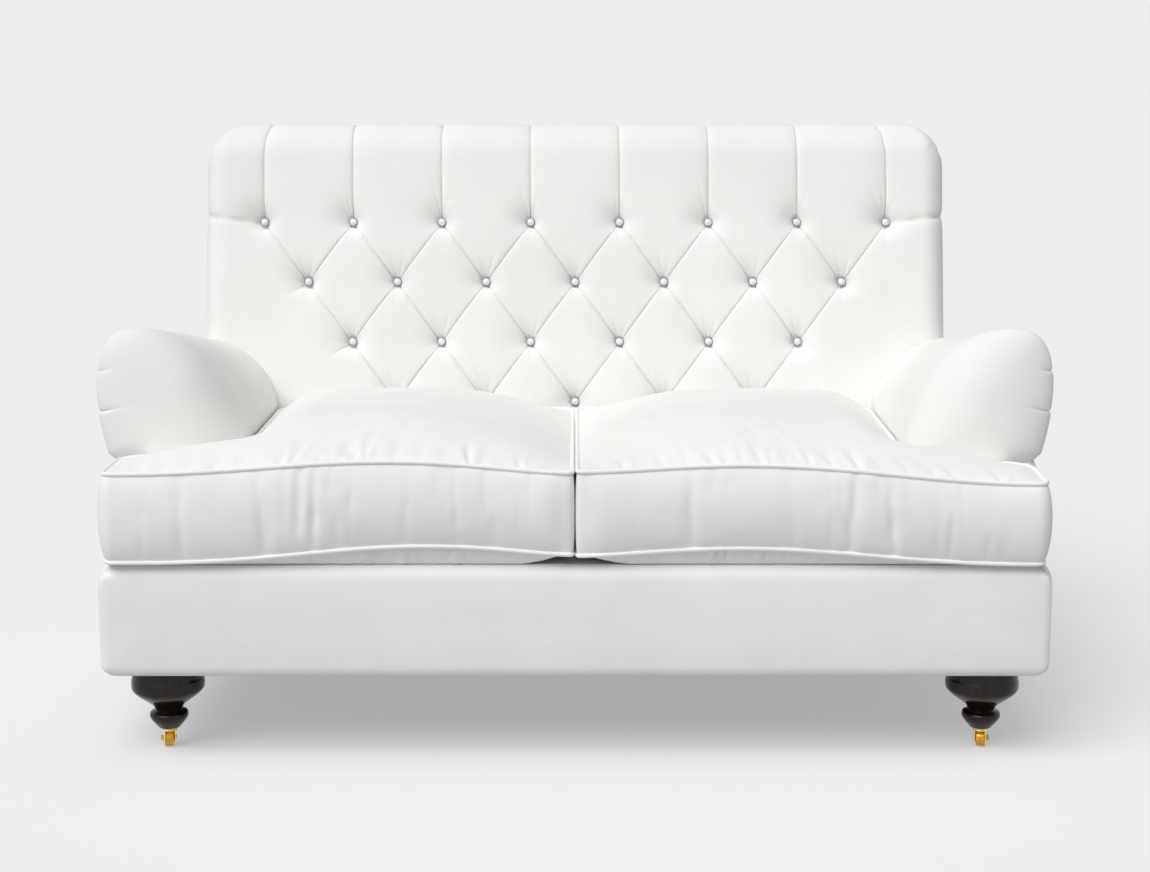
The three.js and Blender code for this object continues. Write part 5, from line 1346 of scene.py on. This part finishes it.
# %% Bevelled blocks and rear legs
def block(name, low, high, material, bevel, shift=(0.0, 0.0), shrink=1.0):
    """A box with bevelled edges; its foot may be shifted and shrunk against its top."""
    centre = (np.array(low) + np.array(high)) / 2
    work = bmesh.new()
    bmesh.ops.create_cube(work, size=1.0)
    size = np.array(high) - np.array(low)
    for vertex in work.verts:
        foot = vertex.co.z < 0
        taper = shrink if foot else 1.0
        x = centre[0] + vertex.co.x * size[0] * taper + (shift[0] if foot else 0)
        y = centre[1] + vertex.co.y * size[1] * taper + (shift[1] if foot else 0)
        vertex.co = (x * MM, y * MM, (centre[2] + vertex.co.z * size[2]) * MM)
    bmesh.ops.bevel(work, geom=list(work.edges), offset=bevel * MM, segments=3, profile=0.5, affect="EDGES")
    mesh = bpy.data.meshes.new(name)
    work.to_mesh(mesh)
    work.free()
    mesh.shade_smooth()
    mesh.set_sharp_from_angle(angle=math.radians(50))
    mesh.materials.append(material)
    piece = bpy.data.objects.new(name, mesh)
    bpy.context.collection.objects.link(piece)
    return piece


def turned_about(piece, centre, turn):
    """Turns a mesh about an upright line at a place given in millimetres."""
    middle = Matrix.Translation([c * MM for c in centre])
    piece.data.transform(middle @ Matrix.Rotation(turn, 4, "Z") @ middle.inverted())
    return piece


def joined(pieces, name):
    """Several pieces as one mesh, with the first one's material."""
    work = bmesh.new()
    for piece in pieces:
        work.from_mesh(piece.data)
        if piece is not pieces[0]:
            bpy.data.objects.remove(piece)
    mesh = pieces[0].data
    work.to_mesh(mesh)
    work.free()
    mesh.set_sharp_from_angle(angle=math.radians(48))
    pieces[0].name, mesh.name = name, name
    return pieces[0]


TOP_WIDE, FOOT_WIDE, RAKE = 62, 42, 34.0
for side_name, side in SIDES:
    low = (side * REAR_LEG[0] - TOP_WIDE / 2, REAR_LEG[1] - TOP_WIDE / 2, 0)
    high = (side * REAR_LEG[0] + TOP_WIDE / 2, REAR_LEG[1] + TOP_WIDE / 2, LEG_TOP)
    rear_leg = block(f"{side_name}_raked_rear_leg", low, high, espresso_wood, 2.5, shift=(0.0, RAKE),
                     shrink=FOOT_WIDE / TOP_WIDE)
    seat_on(rear_leg, "frame", [f"rear_{side_name}_leg"])
print("rear legs:", TOP_WIDE, "mm square at the top,", FOOT_WIDE, "mm at the foot")

# %% Castors
WHEEL_TURN = math.radians(162)
CHEEK_OUT, CHEEK_THICK = 8.8, 1.2
PLATE = [(0, 38.6), (13.7, 38.6)] + arc((13.7, 37.9), 0.7, 80, -80, 4) + [(0, 36.3)]
CROWN_RING = ([(0, 60), (3.4, 60), (4, 59.4), (4, 35.8), (11.3, 35.8)] + arc((11.4, 34.6), 1.2, 90, -90, 5)
              + [(0, 33.5)])
AXLE = ([(0, -12.6), (2.6, -12.6)] + arc((3.2, -11.8), 0.8, -90, 0, 4)
        + [(4.0, -10.3), (2.4, -10.2), (2.4, 10.2), (4.0, 10.3)] + arc((3.2, 11.8), 0.8, 0, 90, 4)
        + [(2.6, 12.6), (0, 12.6)])
TREAD = [(2.5, -6), (8, -6), (9.5, -5.2), (12.4, -5.2)] + arc((13.3, -5.3), 1.7, -90, 0, 5)
WHEEL = TREAD + [(r, -h) for r, h in TREAD[::-1]] + [(2.5, -6)]
for side_name, side in SIDES:
    pivot = (side * FRONT_LEG[0], FRONT_LEG[1])
    turn = side * WHEEL_TURN
    plate = lathe(f"{side_name}_castor_plate", PLATE, highlight_painted_brass, 64, centre=(*pivot, 0), sharp_degrees=40)
    seat_on(plate, "frame", [f"front_{side_name}_castor_plate"])
    parts = [lathe("crown", CROWN_RING, highlight_painted_brass, 48, centre=(*pivot, 0))]
    for hand in (-1, 1):
        middle = pivot[0] + hand * CHEEK_OUT
        cheek = block("cheek", (middle - CHEEK_THICK, pivot[1] - 23.5, 9), (middle + CHEEK_THICK, pivot[1] + 4, 34),
                      highlight_painted_brass, 0.9, shift=(0.0, -4.0), shrink=0.78)
        parts.append(turned_about(cheek, (*pivot, 0), turn))
    fork = joined(parts, f"{side_name}_castor_fork")
    seat_on(fork, f"{side_name}_castor", [f"front_{side_name}_castor_fork"])
    wheel_middle = tuple(sum(corners_mm(f"front_{side_name}_castor_wheel")) / 2)
    axle = lathe(f"{side_name}_castor_axle", AXLE, polished_brass, 32, "X", wheel_middle, 40, turn)
    seat_on(axle, f"{side_name}_castor", [f"front_{side_name}_castor_axle"])
    wheel = lathe(f"{side_name}_castor_wheel", WHEEL, polished_brass, 72, "X", wheel_middle, 40, turn)
    seat_on(wheel, f"{side_name}_wheel", [f"front_{side_name}_castor_wheel"])

# %% [markdown]
# ## The frame, the springs and the bolts
# These keep the shapes that they have in the frame, and only get their finishes. Beech shows its grain along
# each rail, so a rail's longest side picks one of three beeches, and the springs and bolts are zinc-plated.

# %% Frame materials
for node_name, node in frame["nodes"].items():
    low, high = corners_mm(node_name)
    if any(word in node_name for word in ("rail", "post", "corner_block")):
        node.data.materials[0] = beeches[int(np.argmax(high - low))]
    if "spring" in node_name or "bolt" in node_name:
        node.data.materials[0] = zinc_steel
print("dressed", len(frame["nodes"]), "frame nodes")

# %% [markdown]
# ## Inside the cushions
# Each cover holds an L-shaped block of cream foam, and opens along its rear on a zip with a woven tape, two
# rows of metal teeth and a slider. They show when a cushion is lifted off.

# %% Foam blocks
core_ear_x, core_ear_y = 514.0, -329.0
for side_name, side in SIDES:
    core_low, core_high = corners_mm(f"{side_name}_cushion_core")
    inner, outer = sorted(abs(value) for value in (core_low[0], core_high[0]))
    before, after = edged(inner, core_ear_x, 16, 8), edged(core_ear_x, outer, 16, 8)
    front, rear = edged(core_low[1], core_ear_y, 14, 8), edged(core_ear_y, core_high[1], 16, 8)
    columns, rows = np.concatenate([before, after[1:]]), np.concatenate([front, rear[1:]])
    cells = cells_without((len(rows), len(columns)), np.s_[len(front) - 1:, len(before) - 1:])

    def core_edge(u, v, low=core_low, high=core_high, inner=inner, outer=outer):
        """Distance to the edge of the L-shaped block."""
        notch = np.hypot(np.maximum(core_ear_x - u, 0), np.maximum(core_ear_y - v, 0))
        return np.minimum.reduce([u - inner, outer - u, v - low[1], high[1] - v, notch])

    def on_core(u, v, height, side=side, low=core_low):
        """The block lies flat on its underside."""
        return side * u, v, low[2] + height

    core = padded_panel(f"{side_name}_foam_block", columns, rows, on_core, core_high[2] - core_low[2], 8.0, 0.0,
                        cells=cells, edge=core_edge, material=cream_foam)
    seat_on(core, f"{side_name}_cushion", [f"{side_name}_cushion_core"])

# %% Zips
tooth_shape = small_bar("one_tooth", 1.6, 1.8, (-1.6, 1.6), zip_metal)
tooth_tree = on_points_tree("set_teeth", zip_metal)
for side_name, side in SIDES:
    zip_low, zip_high = corners_mm(f"{side_name}_cushion_zip")
    level = (zip_low[2] + zip_high[2]) / 2
    tape_high = (zip_high[0], zip_high[1] - 0.8, zip_high[2])
    tape_piece = block(f"{side_name}_zip_tape", zip_low, tape_high, zip_tape, 0.4)
    seat_on(tape_piece, f"{side_name}_cushion", [f"{side_name}_cushion_zip"])
    places = spread(zip_low[0] + 4, zip_high[0] - 4, 1.35)
    teeth = grow(f"{side_name}_zip_teeth", [(x, zip_high[1] - 0.9, level + (0.7 if i % 2 else -0.7))
                                            for i, x in enumerate(places)], [], tooth_tree, {"Shape": tooth_shape})
    seat_on(teeth, f"{side_name}_cushion")
    low, high = corners_mm(f"{side_name}_zip_slider")
    middle = (low + high) / 2
    body = block("body", low, (high[0], high[1] - 1.6, high[2]), zip_metal, 0.8)
    bridge = block("bridge", (middle[0] - 2.5, low[1] + 2, middle[2] - 1.6),
                   (middle[0] + 2.5, high[1], middle[2] + 1.6), zip_metal, 0.6)
    slider = joined([body, bridge], f"{side_name}_zip_slider_body")
    seat_on(slider, f"{side_name}_slider", [f"{side_name}_zip_slider"])
bpy.data.objects.remove(tooth_shape)

# %% [markdown]
# ## The studio
# White cloth needs light from one side, or its folds are lost: one wide soft lamp stands high in front and a
# little to the left, and the whole dome fills in. The camera sees a plain pale ground. The floor is matt, and
# to the camera nearly half of its brightness is its own, so it takes the ground's colour where no shadow
# falls, and the shadow under the sofa stays light.

# %% Floor
GROUND = "#ededed"
FLOOR_LIT, FLOOR_OWN, FLOOR_BOUNCE = 0.95, 0.46, 0.55
floor_mesh = bpy.data.meshes.new("studio_floor")
floor_mesh.from_pydata([(-60, -30, 0), (60, -30, 0), (60, 90, 0), (-60, 90, 0)], [], [(0, 1, 2, 3)])
floor = bpy.data.objects.new("studio_floor", floor_mesh)
bpy.context.collection.objects.link(floor)
floor_paint = bpy.data.materials.new("studio_floor_paint")
floor_paint.use_nodes = True
graph = floor_paint.node_tree
graph.nodes.clear()
floor_mesh.materials.append(floor_paint)


def plainly_seen(tree):
    """1 for what the camera sees, directly or in metal and gloss, and 0 for light that falls on things."""
    path = tree.nodes.new("ShaderNodeLightPath").outputs
    mirrored = math_node(tree, "MAXIMUM", path["Is Glossy Ray"], path["Is Transmission Ray"])
    return math_node(tree, "MAXIMUM", path["Is Camera Ray"], mirrored)


seen = plainly_seen(graph)
tone = add_node(graph, "ShaderNodeMix", {"Factor": seen, 6: [FLOOR_BOUNCE] * 3 + [1], 7: [FLOOR_LIT] * 3 + [1]},
                data_type="RGBA")
matt = add_node(graph, "ShaderNodeBsdfDiffuse", {"Color": tone.outputs[2]})
own = add_node(graph, "ShaderNodeEmission", {"Color": linear(GROUND), "Strength": 1.0})
share = math_node(graph, "MULTIPLY", seen, FLOOR_OWN)
paint = add_node(graph, "ShaderNodeMixShader", {0: share, 1: matt.outputs[0], 2: own.outputs[0]})
add_node(graph, "ShaderNodeOutputMaterial", {"Surface": paint.outputs[0]})

# %% Dome and lamp
DOME, KEY, KEY_SPREAD, KEY_WAY = 0.28, 2.4, 50, (0.34, 0.49, -0.80)
world = bpy.data.worlds.new("studio")
bpy.context.scene.world = world
world.use_nodes = True
sky = world.node_tree
sky.nodes.clear()
ground = add_node(sky, "ShaderNodeBackground", {"Color": linear(GROUND), "Strength": 1.0})
dome = add_node(sky, "ShaderNodeBackground", {"Color": (1, 1, 1, 1), "Strength": DOME})
both = add_node(sky, "ShaderNodeMixShader", {0: plainly_seen(sky), 1: dome.outputs[0], 2: ground.outputs[0]})
add_node(sky, "ShaderNodeOutputWorld", {"Surface": both.outputs[0]})

lamp = bpy.data.lights.new("key_lamp", "SUN")
lamp.energy = KEY
lamp.angle = math.radians(KEY_SPREAD)
holder = bpy.data.objects.new("key_lamp", lamp)
holder.rotation_euler = Vector(KEY_WAY).to_track_quat("-Z", "Y").to_euler()
bpy.context.collection.objects.link(holder)
bpy.context.scene.view_settings.view_transform = "Standard"
print("dome", DOME, "key", KEY)
